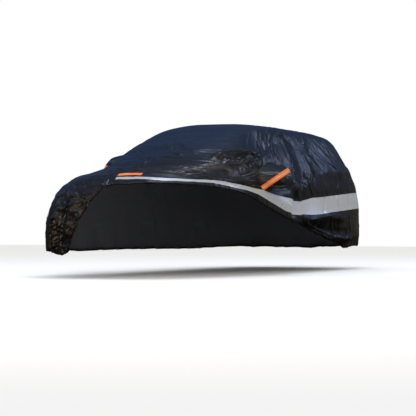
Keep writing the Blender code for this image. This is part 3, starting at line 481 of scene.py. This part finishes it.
print("folding the cloth")
around = columnPlaces()
share = rowShares(around)
smooth = alongRibs(ribPoints(around), share)
smoothNormals = gridNormals(smooth)
hemRow = share.shape[1] - 1
cloth = foldCloth(smooth, smoothNormals, around, share)
cloth = gatherHem(cloth, gridNormals(cloth), around, hemRow)
clothNormals = gridNormals(cloth)
grid = np.concatenate([cloth, curlHem(cloth, clothNormals, around, share, hemRow)], 1)
columns, rows = grid.shape[:2]
turned = ((0, 0), (0, rows - hemRow - 1))
flatUp = np.pad(smoothNormals[..., 2], turned, mode="edge")
foldUp = np.pad(clothNormals[..., 2], turned, mode="edge")
middles = (around + np.roll(around, -1)) / 2
middles[-1] = wayRound / 2
downMetres = np.concatenate([np.zeros((columns, 1)),
                             np.linalg.norm(np.diff(grid, axis=1), axis=2).cumsum(1)], 1)
print("grid", columns, "x", rows)


def linear(colour):
    values = [int(colour[k:k + 2], 16) / 255 for k in (1, 3, 5)]
    return [v / 12.92 if v <= 0.04045 else ((v + 0.055) / 1.055) ** 2.4 for v in values] + [1.0]


def addNode(tree, kind, settings=None, links=None):
    # settings are node attributes or socket values, links are (node, output) by input
    node = tree.nodes.new(kind)
    for name, value in (settings or {}).items():
        if hasattr(node, name):
            setattr(node, name, value)
        else:
            node.inputs[name].default_value = value
    for name, (source, output) in (links or {}).items():
        tree.links.new(source.outputs[output], node.inputs[name])
    return node


def newMaterial(name):
    material = bpy.data.materials.new(name)
    material.use_nodes = True
    tree = material.node_tree
    return material, tree, tree.nodes["Principled BSDF"]


# the colour ramp runs by the tone attribute: the cloth's own dark colour with painted reflection, a tan glint colour at
# 0, brown-black on the sides, navy where the cloth faces up
coatedPolyester = {
    "dyeAndPaintedSheen": ((0.0, "#453f36"), (0.10, "#1e1a15"), (0.24, "#100e0c"), (0.50, "#121315"), (0.72, "#111723"),
             (1.0, "#101a2e")),
    "paintedShade": "#040403",       # painted shade, where the cloth hangs in its own shade
    "roughness": 0.36,
    "gloss": 0.45,
    "crinkle": 0.018,        # metres, the film's own crazing
    "thread": 0.0030,        # drawn about 10 times coarser than the 0.3 mm taffeta, or it would not show
}


def makePolyester():
    # woven polyester with a clear satin film: soft streaked gloss over a dark navy; the base colour is painted
    # reflection, navy where the cloth faces up and brown-black on the sides, with tan glints
    material, tree, shader = newMaterial("coatedPolyester")
    look = coatedPolyester
    way = addNode(tree, "ShaderNodeAttribute", {"attribute_name": "cutWay"})
    tone = addNode(tree, "ShaderNodeAttribute", {"attribute_name": "tone"})
    shade = addNode(tree, "ShaderNodeAttribute", {"attribute_name": "shade"})
    place = addNode(tree, "ShaderNodeTexCoord")
    blotch = addNode(tree, "ShaderNodeTexNoise", {"Scale": 3.2, "Detail": 4.0, "Roughness": 0.6},
                     {"Vector": (place, "Object")})
    spread = addNode(tree, "ShaderNodeMapRange", {"From Min": 0.3, "From Max": 0.7, "To Min": -0.06, "To Max": 0.16},
                     {"Value": (blotch, "Fac")})
    mixed = addNode(tree, "ShaderNodeMath", {"operation": "ADD", "use_clamp": True},
                    {0: (tone, "Fac"), 1: (spread, "Result")})
    # painted reflection: the tone from facing, tone spots and random blotches picks the colour on this ramp
    dyeAndSheen = addNode(tree, "ShaderNodeValToRGB", None, {"Fac": (mixed, "Value")})
    ramp = dyeAndSheen.color_ramp
    for number, (spot, colour) in enumerate(look["dyeAndPaintedSheen"]):
        stop = ramp.elements[number] if number < 2 else ramp.elements.new(spot)
        stop.position, stop.color = spot, linear(colour)
    # painted shade: darkens the colour towards near-black where the shade attribute is high
    paintedShade = addNode(tree, "ShaderNodeMix", {"data_type": "RGBA"}, {0: (shade, "Fac"), 6: (dyeAndSheen, "Color")})
    paintedShade.inputs[7].default_value = linear(look["paintedShade"])
    tree.links.new(paintedShade.outputs[2], shader.inputs["Base Color"])
    streak = addNode(tree, "ShaderNodeMapping", {"Scale": (1.0, 9.0, 1.0)}, {"Vector": (way, "Vector")})
    streaks = addNode(tree, "ShaderNodeTexNoise", {"Scale": 5.0, "Detail": 4.0}, {"Vector": (streak, "Vector")})
    rough = addNode(tree, "ShaderNodeMapRange", {"From Min": 0.3, "From Max": 0.7, "To Min": look["roughness"] - 0.08,
                                                 "To Max": look["roughness"] + 0.10}, {"Value": (streaks, "Fac")})
    tree.links.new(rough.outputs["Result"], shader.inputs["Roughness"])
    craze = addNode(tree, "ShaderNodeTexNoise", {"Scale": 1 / look["crinkle"] / 2, "Detail": 5.0, "Roughness": 0.6},
                    {"Vector": (place, "Object")})
    weave = addNode(tree, "ShaderNodeTexChecker", {"Scale": 1 / look["thread"]}, {"Vector": (way, "Vector")})
    crazeBump = addNode(tree, "ShaderNodeBump", {"Strength": 0.5, "Distance": 0.004}, {"Height": (craze, "Fac")})
    weaveBump = addNode(tree, "ShaderNodeBump", {"Strength": 0.06, "Distance": 0.0004},
                        {"Height": (weave, "Fac"), "Normal": (crazeBump, "Normal")})
    tree.links.new(weaveBump.outputs["Normal"], shader.inputs["Normal"])
    shader.inputs["IOR"].default_value = 1.50
    shader.inputs["Specular IOR Level"].default_value = look["gloss"]
    return material


feltBacking = {"grey": "#4a4b4f", "fibre": 0.0025}


def makeFelt():
    # needle-punched polyester felt: matt, fibrous, a little uneven
    material, tree, shader = newMaterial("feltBacking")
    place = addNode(tree, "ShaderNodeTexCoord")
    fibre = addNode(tree, "ShaderNodeTexNoise", {"Scale": 1 / feltBacking["fibre"] / 3, "Detail": 6.0},
                    {"Vector": (place, "Object")})
    tone = addNode(tree, "ShaderNodeValToRGB", None, {"Fac": (fibre, "Fac")})
    tone.color_ramp.elements[0].color = linear("#3a3b3f")
    tone.color_ramp.elements[1].color = linear(feltBacking["grey"])
    tree.links.new(tone.outputs["Color"], shader.inputs["Base Color"])
    bump = addNode(tree, "ShaderNodeBump", {"Strength": 0.25, "Distance": 0.001}, {"Height": (fibre, "Fac")})
    tree.links.new(bump.outputs["Normal"], shader.inputs["Normal"])
    shader.inputs["Roughness"].default_value = 0.95
    return material


# warm: a painted reflection colour, mixed in on the side-facing parts of the band
silverTape = {"silver": "#c2c8d2", "warm": "#aaa190","roughness": 0.34, "metallic": 0.35}


def makeSilver():
    # aluminised reflective fabric: bright, slightly brushed, with faint upright pucker lines; warmer where the tone
    # attribute is low, a painted reflection of the warm ground on side-facing parts
    material, tree, shader = newMaterial("silverTape")
    way = addNode(tree, "ShaderNodeAttribute", {"attribute_name": "cutWay"})
    toned = addNode(tree, "ShaderNodeAttribute", {"attribute_name": "tone"})
    # painted reflection: the warm grey is mixed in where the cloth faces sideways or down
    warm = addNode(tree, "ShaderNodeMath", {"operation": "SUBTRACT", "use_clamp": True}, {1: (toned, "Fac")})
    warm.inputs[0].default_value = 0.6
    stretch = addNode(tree, "ShaderNodeMapping", {"Scale": (14.0, 2.0, 1.0)}, {"Vector": (way, "Vector")})
    cloud = addNode(tree, "ShaderNodeTexNoise", {"Scale": 1.6, "Detail": 4.0}, {"Vector": (stretch, "Vector")})
    tone = addNode(tree, "ShaderNodeMix", {"data_type": "RGBA"})
    tone.inputs[6].default_value = linear(silverTape["silver"])
    tone.inputs[7].default_value = linear(silverTape["warm"])
    tree.links.new(warm.outputs["Value"], tone.inputs[0])
    tree.links.new(tone.outputs[2], shader.inputs["Base Color"])
    rough = addNode(tree, "ShaderNodeMapRange", {"From Min": 0.3, "From Max": 0.7, "To Min": silverTape["roughness"] - 0.08,
                                                 "To Max": silverTape["roughness"] + 0.10}, {"Value": (cloud, "Fac")})
    tree.links.new(rough.outputs["Result"], shader.inputs["Roughness"])
    bump = addNode(tree, "ShaderNodeBump", {"Strength": 0.25, "Distance": 0.003}, {"Height": (cloud, "Fac")})
    tree.links.new(bump.outputs["Normal"], shader.inputs["Normal"])
    shader.inputs["Metallic"].default_value = silverTape["metallic"]
    return material


orangeTape = {"orange": "#d85f0a", "centre": "#a8977a", "centreWidth": 0.28, "rib": 0.0016}


def makeOrange():
    # fluorescent woven tape with a glass-bead reflective line down its middle
    material, tree, shader = newMaterial("orangeTape")
    way = addNode(tree, "ShaderNodeAttribute", {"attribute_name": "tapeWay"})
    parts = addNode(tree, "ShaderNodeSeparateXYZ", None, {"Vector": (way, "Vector")})
    offset = addNode(tree, "ShaderNodeMath", {"operation": "ABSOLUTE"}, {0: (parts, "X")})
    line = addNode(tree, "ShaderNodeMath", {"operation": "LESS_THAN"}, {0: (offset, "Value")})
    line.inputs[1].default_value = orangeTape["centreWidth"] / 2
    tone = addNode(tree, "ShaderNodeMix", {"data_type": "RGBA"})
    tone.inputs[6].default_value = linear(orangeTape["orange"])
    tone.inputs[7].default_value = linear(orangeTape["centre"])
    tree.links.new(line.outputs["Value"], tone.inputs[0])
    tree.links.new(tone.outputs[2], shader.inputs["Base Color"])
    ribs = addNode(tree, "ShaderNodeTexWave", {"Scale": 1 / orangeTape["rib"] / 20}, {"Vector": (way, "Vector")})
    bump = addNode(tree, "ShaderNodeBump", {"Strength": 0.2, "Distance": 0.0005}, {"Height": (ribs, "Fac")})
    tree.links.new(bump.outputs["Normal"], shader.inputs["Normal"])
    shader.inputs["Roughness"].default_value = 0.60
    shader.inputs["Specular IOR Level"].default_value = 0.25
    return material


print("mixing the materials")
polyester, felt, silver, orange = makePolyester(), makeFelt(), makeSilver(), makeOrange()

# painted reflection and painted shade: where the cloth looks bluer (+) or browner (-), and how shaded: around, share,
# metres wide, tone, shade
tonePlaces = ("around", "share", "wide", "tone", "shade")
toneSpots = (
    (0.10, 0.66, 0.45, -0.55, 0.0), (0.60, 0.64, 0.40, -0.60, 0.0), (1.10, 0.62, 0.35, -0.60, 0.0),
    (0.30, 0.50, 0.25, -0.30, 0.0), (1.60, 0.62, 0.35, -0.25, 0.1), (0.85, 0.50, 0.16, -0.30, 0.3),
    (-0.28, 0.85, 0.30, -0.60, 0.35), (-0.40, 0.80, 0.16, -0.30, 0.2), (-0.55, 0.95, 0.30, -0.20, 0.9),
    (2.90, 0.42, 0.40, 0.30, 0.0), (3.70, 0.44, 0.45, 0.25, 0.0), (2.55, 0.62, 0.16, 0.30, 0.0),
    (3.40, 0.83, 0.16, 0.90, 0.0), (4.20, 0.92, 0.40, -0.10, 0.9), (3.30, 0.89, 0.25, -0.10, 0.6),
    (-0.70, 0.77, 0.16, 0.70, 0.0), (3.60, 0.67, 0.30, -0.10, 0.3), (4.50, 0.65, 0.30, -0.10, 0.3),
    (-0.88, 0.70, 0.30, 0.50, 0.0), (3.60, 0.91, 0.45, -0.10, 0.8), (3.10, 0.87, 0.25, -0.10, 0.5),
)
# a lighter tan patch below the bunch, a painted highlight in the tan glint colour: around, share, metres wide
paintedGlintPatch = ((0.80, 0.612, 0.11), (0.94, 0.608, 0.11), (1.08, 0.604, 0.11))
toneRange = (0.10, 1.0)      # below it only in the painted highlight patch


def toneAt(points, flatUp, foldUp):
    # painted reflection: how blue each spot is, from the way the cloth faces there, bluer facing up and browner on the
    # sides; and painted shade: how much it lies in shade
    tone = 0.24 + 0.72 * flatUp + 0.40 * (foldUp - flatUp)
    shade = np.zeros(len(points))
    for sizes in toneSpots:
        spot = dict(zip(tonePlaces, sizes))
        middle = alongRibs(ribPoints(np.array([spot["around"]])), np.array([[spot["share"]]]))[0, 0]
        near = np.exp(-(np.linalg.norm(points - middle, axis=1) / spot["wide"]) ** 2)
        tone += spot["tone"] * near
        shade += spot["shade"] * near
    tone = np.clip(tone, *toneRange)
    # the painted highlight patch pulls the tone down to the tan glint colour
    for place, down, wide in paintedGlintPatch:
        middle = alongRibs(ribPoints(np.array([place])), np.array([[down]]))[0, 0]
        tone -= tone * np.exp(-(np.linalg.norm(points - middle, axis=1) / wide) ** 2)
    return tone, np.clip(shade, 0, 1)


def finishMesh(name, points, faces, materials, attributes):
    mesh = bpy.data.meshes.new(name)
    mesh.from_pydata(points.tolist(), [], faces)
    for key, values in attributes.items():
        if values.ndim == 1:
            mesh.attributes.new(key, "FLOAT", "POINT").data.foreach_set("value", values.astype(np.float32))
        else:
            mesh.attributes.new(key, "FLOAT_VECTOR", "POINT").data.foreach_set("vector",
                                                                               values.astype(np.float32).ravel())
    for material in materials:
        mesh.materials.append(material)
    mesh.shade_smooth()
    # cut edges stay crisp, so no dark line shades the seams
    uses = np.empty(len(mesh.loops), np.int32)
    mesh.loops.foreach_get("edge_index", uses)
    cut = np.bincount(uses, minlength=len(mesh.edges)) == 1
    mesh.attributes.new("sharp_edge", "BOOLEAN", "EDGE").data.foreach_set("value", cut)
    piece = bpy.data.objects.new(name, mesh)
    bpy.context.scene.collection.objects.link(piece)
    return piece


def giveThickness(piece, thick, inner):
    shell = piece.modifiers.new("thickness", "SOLIDIFY")
    shell.thickness = thick
    shell.offset = -1.0
    shell.material_offset = 1 if inner else 0
    shell.use_quality_normals = True


columnIndex, rowIndex = np.meshgrid(np.arange(columns), np.arange(rows - 1), indexing="ij")


def cutPiece(name, keep, materials):
    cells = np.argwhere(keep)
    column, row = cells[:, 0], cells[:, 1]
    beside = (column + 1) % columns
    corners = np.stack([column * rows + row, column * rows + row + 1, beside * rows + row + 1, beside * rows + row], 1)
    used, faces = np.unique(corners, return_inverse=True)
    faces = faces.reshape(corners.shape)
    points = grid.reshape(-1, 3)[used]
    way = np.stack([np.repeat(around, rows)[used], downMetres.reshape(-1)[used], np.zeros(len(used))], 1)
    tone, shade = toneAt(points, flatUp.reshape(-1)[used], foldUp.reshape(-1)[used])
    return finishMesh(name, points, faces.tolist(), materials, {"cutWay": way, "tone": tone, "shade": shade})


middleOf = np.broadcast_to(middles[:, None], (columns, rows - 1))
isCanopy = rowIndex < canopyEnd
isBelowRail = rowIndex >= railRow
tucked = (middleOf > cover["bandTucked"][0]) & (middleOf < cover["bandTucked"][1])
isBand = (rowIndex >= canopyEnd) & (rowIndex < bandEnd) & ~tucked
isNear = isCanopy & isBelowRail & (middleOf > cover["sideFrom"]) & (middleOf < cover["sideTo"])
isFar = isCanopy & isBelowRail & (-middleOf > cover["sideFrom"]) & (-middleOf < cover["sideTo"])
cellCentres = (grid + np.roll(grid, -1, 0))[:, :-1] / 4 + (grid + np.roll(grid, -1, 0))[:, 1:] / 4

pockets = {
    "nearPocket": {"side": 1, "y": -0.570, "height": 0.985, "halfLong": 0.235, "halfHigh": 0.135, "taper": 0.35,
                   "skew": 0.035, "reach": 0.205, "lean": 0.000, "slope": 0.38, "replaces": "near_mirror_pocket"},
    "farPocket":  {"side": -1, "y": -0.600, "height": 1.155, "halfLong": 0.205, "halfHigh": 0.130, "taper": 0.0,
                   "skew": 0.0, "reach": 0.195, "lean": -0.020, "slope": 0.28, "replaces": "far_mirror_pocket"},
}
pocketShape = {"turns": 120, "rings": 30, "flat": 0.93, "slump": 0.02, "square": 2.8, "hole": 0.74}


def pocketUpright(pocket, along):
    # middle height of a pocket and half its height, from its front (-1) to its rear (1)
    return pocket["height"] + pocket["skew"] * along, pocket["halfHigh"] * (1 + pocket["taper"] * along)


def holeCells(pocket):
    along = (cellCentres[..., 1] - pocket["y"]) / pocket["halfLong"]
    middle, half = pocketUpright(pocket, along)
    up = (cellCentres[..., 2] + cover["roofHeight"] - middle) / half
    return (cellCentres[..., 0] * pocket["side"] > 0) & (along ** 2 + up ** 2 < pocketShape["hole"] ** 2)


print("cutting the panels")
topCloth = cutPiece("topCloth", isCanopy & ~isNear & ~isFar, [polyester, felt])
nearSide = cutPiece("nearSide", isNear & ~holeCells(pockets["nearPocket"]), [polyester, felt])
farSide = cutPiece("farSide", isFar & ~holeCells(pockets["farPocket"]), [polyester, felt])
silverBand = cutPiece("silverBand", isBand, [silver, felt])
skirtCloth = cutPiece("skirtCloth", (rowIndex >= canopyEnd) & ~isBand, [polyester, felt])


def closeRoof(piece):
    # fill the slit left along the roof's centre line
    mesh = bmesh.new()
    mesh.from_mesh(piece.data)
    rim = [edge for edge in mesh.edges if edge.is_boundary
           and all(abs(corner.co.x) < 0.12 and corner.co.z > -0.06 for corner in edge.verts)]
    bmesh.ops.triangle_fill(mesh, edges=rim, use_beauty=True, normal=(0, 0, 1))
    mesh.to_mesh(piece.data)
    mesh.free()
    piece.data.shade_smooth()


closeRoof(topCloth)
sheets = {"topCloth": topCloth, "nearSide": nearSide, "farSide": farSide, "silverBand": silverBand,
          "skirtCloth": skirtCloth}
order = np.arange(columns * rows).reshape(columns, rows)
beside = np.roll(order, -1, 0)
cells = np.stack([order[:, :hemRow], order[:, 1:hemRow + 1], beside[:, 1:hemRow + 1], beside[:, :hemRow]], -1)
trees = {"cloth": BVHTree.FromPolygons(grid.reshape(-1, 3).tolist(), cells.reshape(-1, 4).tolist())}


def layOn(surfaces, point, way):
    # the first cloth met from far out against a direction
    way = Vector(way).normalized()
    start = Vector(point) - way * Vector(point).dot(way) + way * 3.0
    hits = [tree.ray_cast(start, -way)[0] for tree in surfaces]
    hits = [hit for hit in hits if hit is not None]
    return max(hits, key=lambda hit: hit.dot(way)) if hits else None


def smoothRing(values, times):
    for _ in range(times):
        values = (np.roll(values, 1) + 2 * values + np.roll(values, -1)) / 4
    return values


def makePocket(name):
    pocket, form = pockets[name], pocketShape
    side = pocket["side"]
    turns = np.linspace(0, 2 * math.pi, form["turns"], endpoint=False) * side
    power = 2 / form["square"]
    across = np.sign(np.cos(turns)) * np.abs(np.cos(turns)) ** power
    upward = np.sign(np.sin(turns)) * np.abs(np.sin(turns)) ** power
    sizes = np.concatenate([np.linspace(1.0, form["flat"], 4), np.linspace(form["flat"], 0.03, form["rings"])[1:]])
    points, seat = [], None
    for size in sizes:
        along, up = across * size, upward * size
        middle, half = pocketUpright(pocket, along)
        y, z = pocket["y"] + along * pocket["halfLong"], middle + up * half - cover["roofHeight"]
        hits = [layOn([trees["cloth"]], (0, a, b), (side, 0, 0)) for a, b in zip(y, z)]
        local = smoothRing(np.array([hit.x for hit in hits]) * side, 2)
        seat = local if seat is None else np.maximum(local, seat * 0.5 + local * 0.5)
        out = float(smoothStep((form["flat"] - size) / pocket["slope"]))
        slump = form["slump"] * (along ** 2 + up ** 2)
        pucker = 0.004 * math.sin(math.pi * min(out * 1.1, 1.0)) * np.sin(turns * 23 + 1.5 * np.sin(turns * 3))
        sag = 0.010 * out * np.sin(2.6 * along + 1.1) * np.cos(2.2 * up)
        x = seat + 0.0025 + (pocket["reach"] - slump) * out + pucker + sag
        points.append(np.stack([x * side, y + pocket["lean"] * out, z - 0.012 * out], 1))
    points = np.concatenate(points)
    count = form["turns"]
    faces = []
    for ring in range(len(sizes) - 1):
        for lane in range(count):
            beside = (lane + 1) % count
            first, second = ring * count, (ring + 1) * count
            faces.append((first + lane, first + beside, second + beside, second + lane))
    faces.append(tuple(range((len(sizes) - 1) * count, len(sizes) * count)))
    way = np.stack([points[:, 1], points[:, 2], np.zeros(len(points))], 1)
    tone, shade = toneAt(points, np.full(len(points), 0.1), np.full(len(points), 0.1))
    piece = finishMesh(name, points, faces, [polyester, felt], {"cutWay": way, "tone": tone, "shade": shade})
    piece.modifiers.new("thickness", "SOLIDIFY")
    shell = piece.modifiers["thickness"]
    shell.thickness = cover["thick"]
    shell.offset = 1.0
    shell.material_offset = 0
    return piece


print("sewing on the mirror pockets")
pouches = {name: makePocket(name) for name in pockets}
for name, piece in pouches.items():
    trees[name] = BVHTree.FromObject(piece, bpy.context.evaluated_depsgraph_get())

# tapes: where each starts and ends, the way it is laid on from, and the solid it stands for
tapes = {
    "nearPocketTape": {"start": (0.872, -0.733, 0.860), "end": (1.105, -0.580, 1.052), "from": (0.47, -0.88, 0.0),
                       "replaces": "near_pocket_strip"},
    "farPocketTape":  {"start": (-0.850, -0.760, 1.075), "end": (-1.000, -0.640, 1.200), "from": (-0.75, -0.66, 0.0),
                       "replaces": "far_pocket_strip"},
    "bonnetTape":     {"start": (0.04, -2.082, 1.0), "end": (0.28, -2.052, 1.0), "from": (0.0, -0.5, 1.0),
                       "replaces": "bonnet_strip"},
    "cornerTape":     {"start": (-0.70, -1.900, 0.800), "end": (-0.62, -2.080, 0.770), "from": (-0.8, -0.6, 0.5),
                       "replaces": "far_corner_strip"},
}
tapeShape = {"width": 0.050, "thick": 0.0010, "step": 0.008, "lanes": 8, "lift": 0.0022}


def makeTape(name):
    tape, form = tapes[name], tapeShape
    ground = Vector((0, 0, cover["roofHeight"]))
    start, end = Vector(tape["start"]) - ground, Vector(tape["end"]) - ground
    way = Vector(tape["from"]).normalized()
    sideways = (end - start).cross(way).normalized()
    steps = max(4, round((end - start).length / form["step"]))
    surfaces = list(trees.values())
    depth = np.zeros((steps + 1, form["lanes"] + 1))
    flat = []
    for step in range(steps + 1):
        for lane in range(form["lanes"] + 1):
            offset = (lane / form["lanes"] - 0.5) * form["width"]
            point = start.lerp(end, step / steps) + sideways * offset
            hit = layOn(surfaces, point, way)
            depth[step, lane] = hit.dot(way) if hit else np.nan
            flat.append(point - way * point.dot(way))
    depth = np.where(np.isnan(depth), np.nanmedian(depth), depth)
    for _ in range(10):     # the tape is stiffer than the cloth and bridges its small folds
        wide = np.pad(depth, 1, mode="edge")
        depth = np.maximum(depth, (wide[:-2, 1:-1] + wide[2:, 1:-1] + wide[1:-1, :-2] + wide[1:-1, 2:]) / 4)
    points = np.array([tuple(spot + way * (d + form["lift"])) for spot, d in zip(flat, depth.ravel())])
    lanes = form["lanes"] + 1
    middle = points[form["lanes"] // 2::lanes]
    tape["long"] = float(np.linalg.norm(np.diff(middle, axis=0), axis=1).sum())
    faces = [(s * lanes + k, s * lanes + k + 1, (s + 1) * lanes + k + 1, (s + 1) * lanes + k)
             for s in range(steps) for k in range(form["lanes"])]
    across = np.tile(np.linspace(-0.5, 0.5, lanes), steps + 1)
    along = np.repeat(np.arange(steps + 1), lanes) * form["step"]
    piece = finishMesh(name, points, faces, [orange], {"tapeWay": np.stack([across, along, along * 0], 1)})
    shell = piece.modifiers.new("thickness", "SOLIDIFY")
    shell.thickness = form["thick"]
    shell.offset = 0.0
    return piece


print("sewing on the tapes")
strips = {name: makeTape(name) for name in tapes}

sheetFacts = {
    "topCloth":   {"piece": topCloth, "replaces": "top_panel", "slot": "coated_cloth", "flat": (2.1, 5.4), "area": 7.4},
    "nearSide":   {"piece": nearSide, "replaces": "near_side_panel", "slot": "coated_cloth", "flat": (3.9, 0.75), "area": 1.95},
    "farSide":    {"piece": farSide, "replaces": "far_side_panel", "slot": "coated_cloth", "flat": (3.9, 0.75), "area": 1.95},
    "silverBand": {"piece": silverBand, "replaces": "silver_band", "slot": "silver_tape", "flat": (11.0, 0.20), "area": 2.2},
    "skirtCloth": {"piece": skirtCloth, "replaces": "skirt", "slot": "coated_cloth", "flat": (11.8, 0.62), "area": 4.6},
}
for facts in sheetFacts.values():
    piece = facts["piece"]
    giveThickness(piece, cover["thick"], True)
    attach(piece, "root")
    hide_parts(facts["replaces"])
for name, piece in pouches.items():
    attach(piece, "root")
    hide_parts(pockets[name]["replaces"])
for name, piece in strips.items():
    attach(piece, "root")
    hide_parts(tapes[name]["replaces"])

print("setting up the studio")
floor = {"size": 60.0, "colour": "#f2f1ef"}
bpy.ops.mesh.primitive_plane_add(size=floor["size"], location=(0, 0, -cover["roofHeight"]))
ground = bpy.context.object
ground.name = "studioFloor"
paper, paperTree, paperShader = newMaterial("paperFloor")
paperShader.inputs["Base Color"].default_value = linear(floor["colour"])
paperShader.inputs["Roughness"].default_value = 0.9
ground.data.materials.append(paper)

# a white cyclorama lights the set; what the gloss mirrors of it is dimmer, cool above and warm along the floor
world = bpy.data.worlds.new("studio")
world.use_nodes = True
worldTree = world.node_tree
rays = addNode(worldTree, "ShaderNodeLightPath")
heading = addNode(worldTree, "ShaderNodeTexCoord")
slope = addNode(worldTree, "ShaderNodeSeparateXYZ", None, {"Vector": (heading, "Generated")})
lift = addNode(worldTree, "ShaderNodeMapRange", {"From Min": -0.2, "From Max": 1.0}, {"Value": (slope, "Z")})
mirrored = addNode(worldTree, "ShaderNodeValToRGB", None, {"Fac": (lift, "Result")})
skyStops = ((0.0, "#12100e"), (0.17, "#6e675b"), (0.35, "#39455c"), (1.0, "#4a6690"))
for number, (spot, colour) in enumerate(skyStops):
    stop = mirrored.color_ramp.elements[number] if number < 2 else mirrored.color_ramp.elements.new(spot)
    stop.position, stop.color = spot, linear(colour)
seen = addNode(worldTree, "ShaderNodeMix", {"data_type": "RGBA"}, {0: (rays, "Is Glossy Ray"), 7: (mirrored, "Color")})
seen.inputs[6].default_value = linear("#ffffff")
worldTree.links.new(seen.outputs[2], worldTree.nodes["Background"].inputs["Color"])
worldTree.nodes["Background"].inputs["Strength"].default_value = 1.0
bpy.context.scene.world = world
bpy.context.scene.view_settings.view_transform = "Standard"
ground.visible_glossy = False

lamps = {
    "overhead": {"at": (1.0, -1.0, 5.5), "size": 3.0, "power": 190.0, "colour": "#dfeaff"},
    "front":    {"at": (3.0, -8.0, 2.2), "size": 1.8, "power": 70.0, "colour": "#ffeedd"},
    "low":      {"at": (-1.2, -9.2, 0.4), "size": 0.8, "power": 105.0, "colour": "#ffe2c2"},
    "near":    {"at": (7.5, -1.0, 1.6), "size": 2.4, "power": 32.0, "colour": "#e8efff"},
    "rear":     {"at": (5.0, 6.5, 3.2), "size": 2.4, "power": 70.0, "colour": "#c4d8ff"},
    "far":      {"at": (-6.0, -3.5, 3.5), "size": 3.0, "power": 60.0, "colour": "#9fc2ff"},
}
for name, lamp in lamps.items():
    light = bpy.data.lights.new(name, "AREA")
    light.shape = "DISK"
    light.size = lamp["size"]
    light.energy = lamp["power"]
    light.color = linear(lamp["colour"])[:3]
    holder = bpy.data.objects.new(name, light)
    holder.location = lamp["at"]
    holder.rotation_euler = Vector(lamp["at"]).to_track_quat("Z", "Y").to_euler()
    bpy.context.scene.collection.objects.link(holder)

view = {"at": (5.81, -11.03, 0.39 - cover["roofHeight"]), "turn": 28.3, "up": 1.39, "lens": 99.87}
camera = bpy.data.cameras.new("camera")
camera.lens = view["lens"]
camera.sensor_width = 36.0
cameraHolder = bpy.data.objects.new("camera", camera)
cameraHolder.location = view["at"]
cameraHolder.rotation_euler = (math.radians(90 + view["up"]), 0, math.radians(view["turn"]))
bpy.context.scene.collection.objects.link(cameraHolder)
bpy.context.scene.camera = cameraHolder
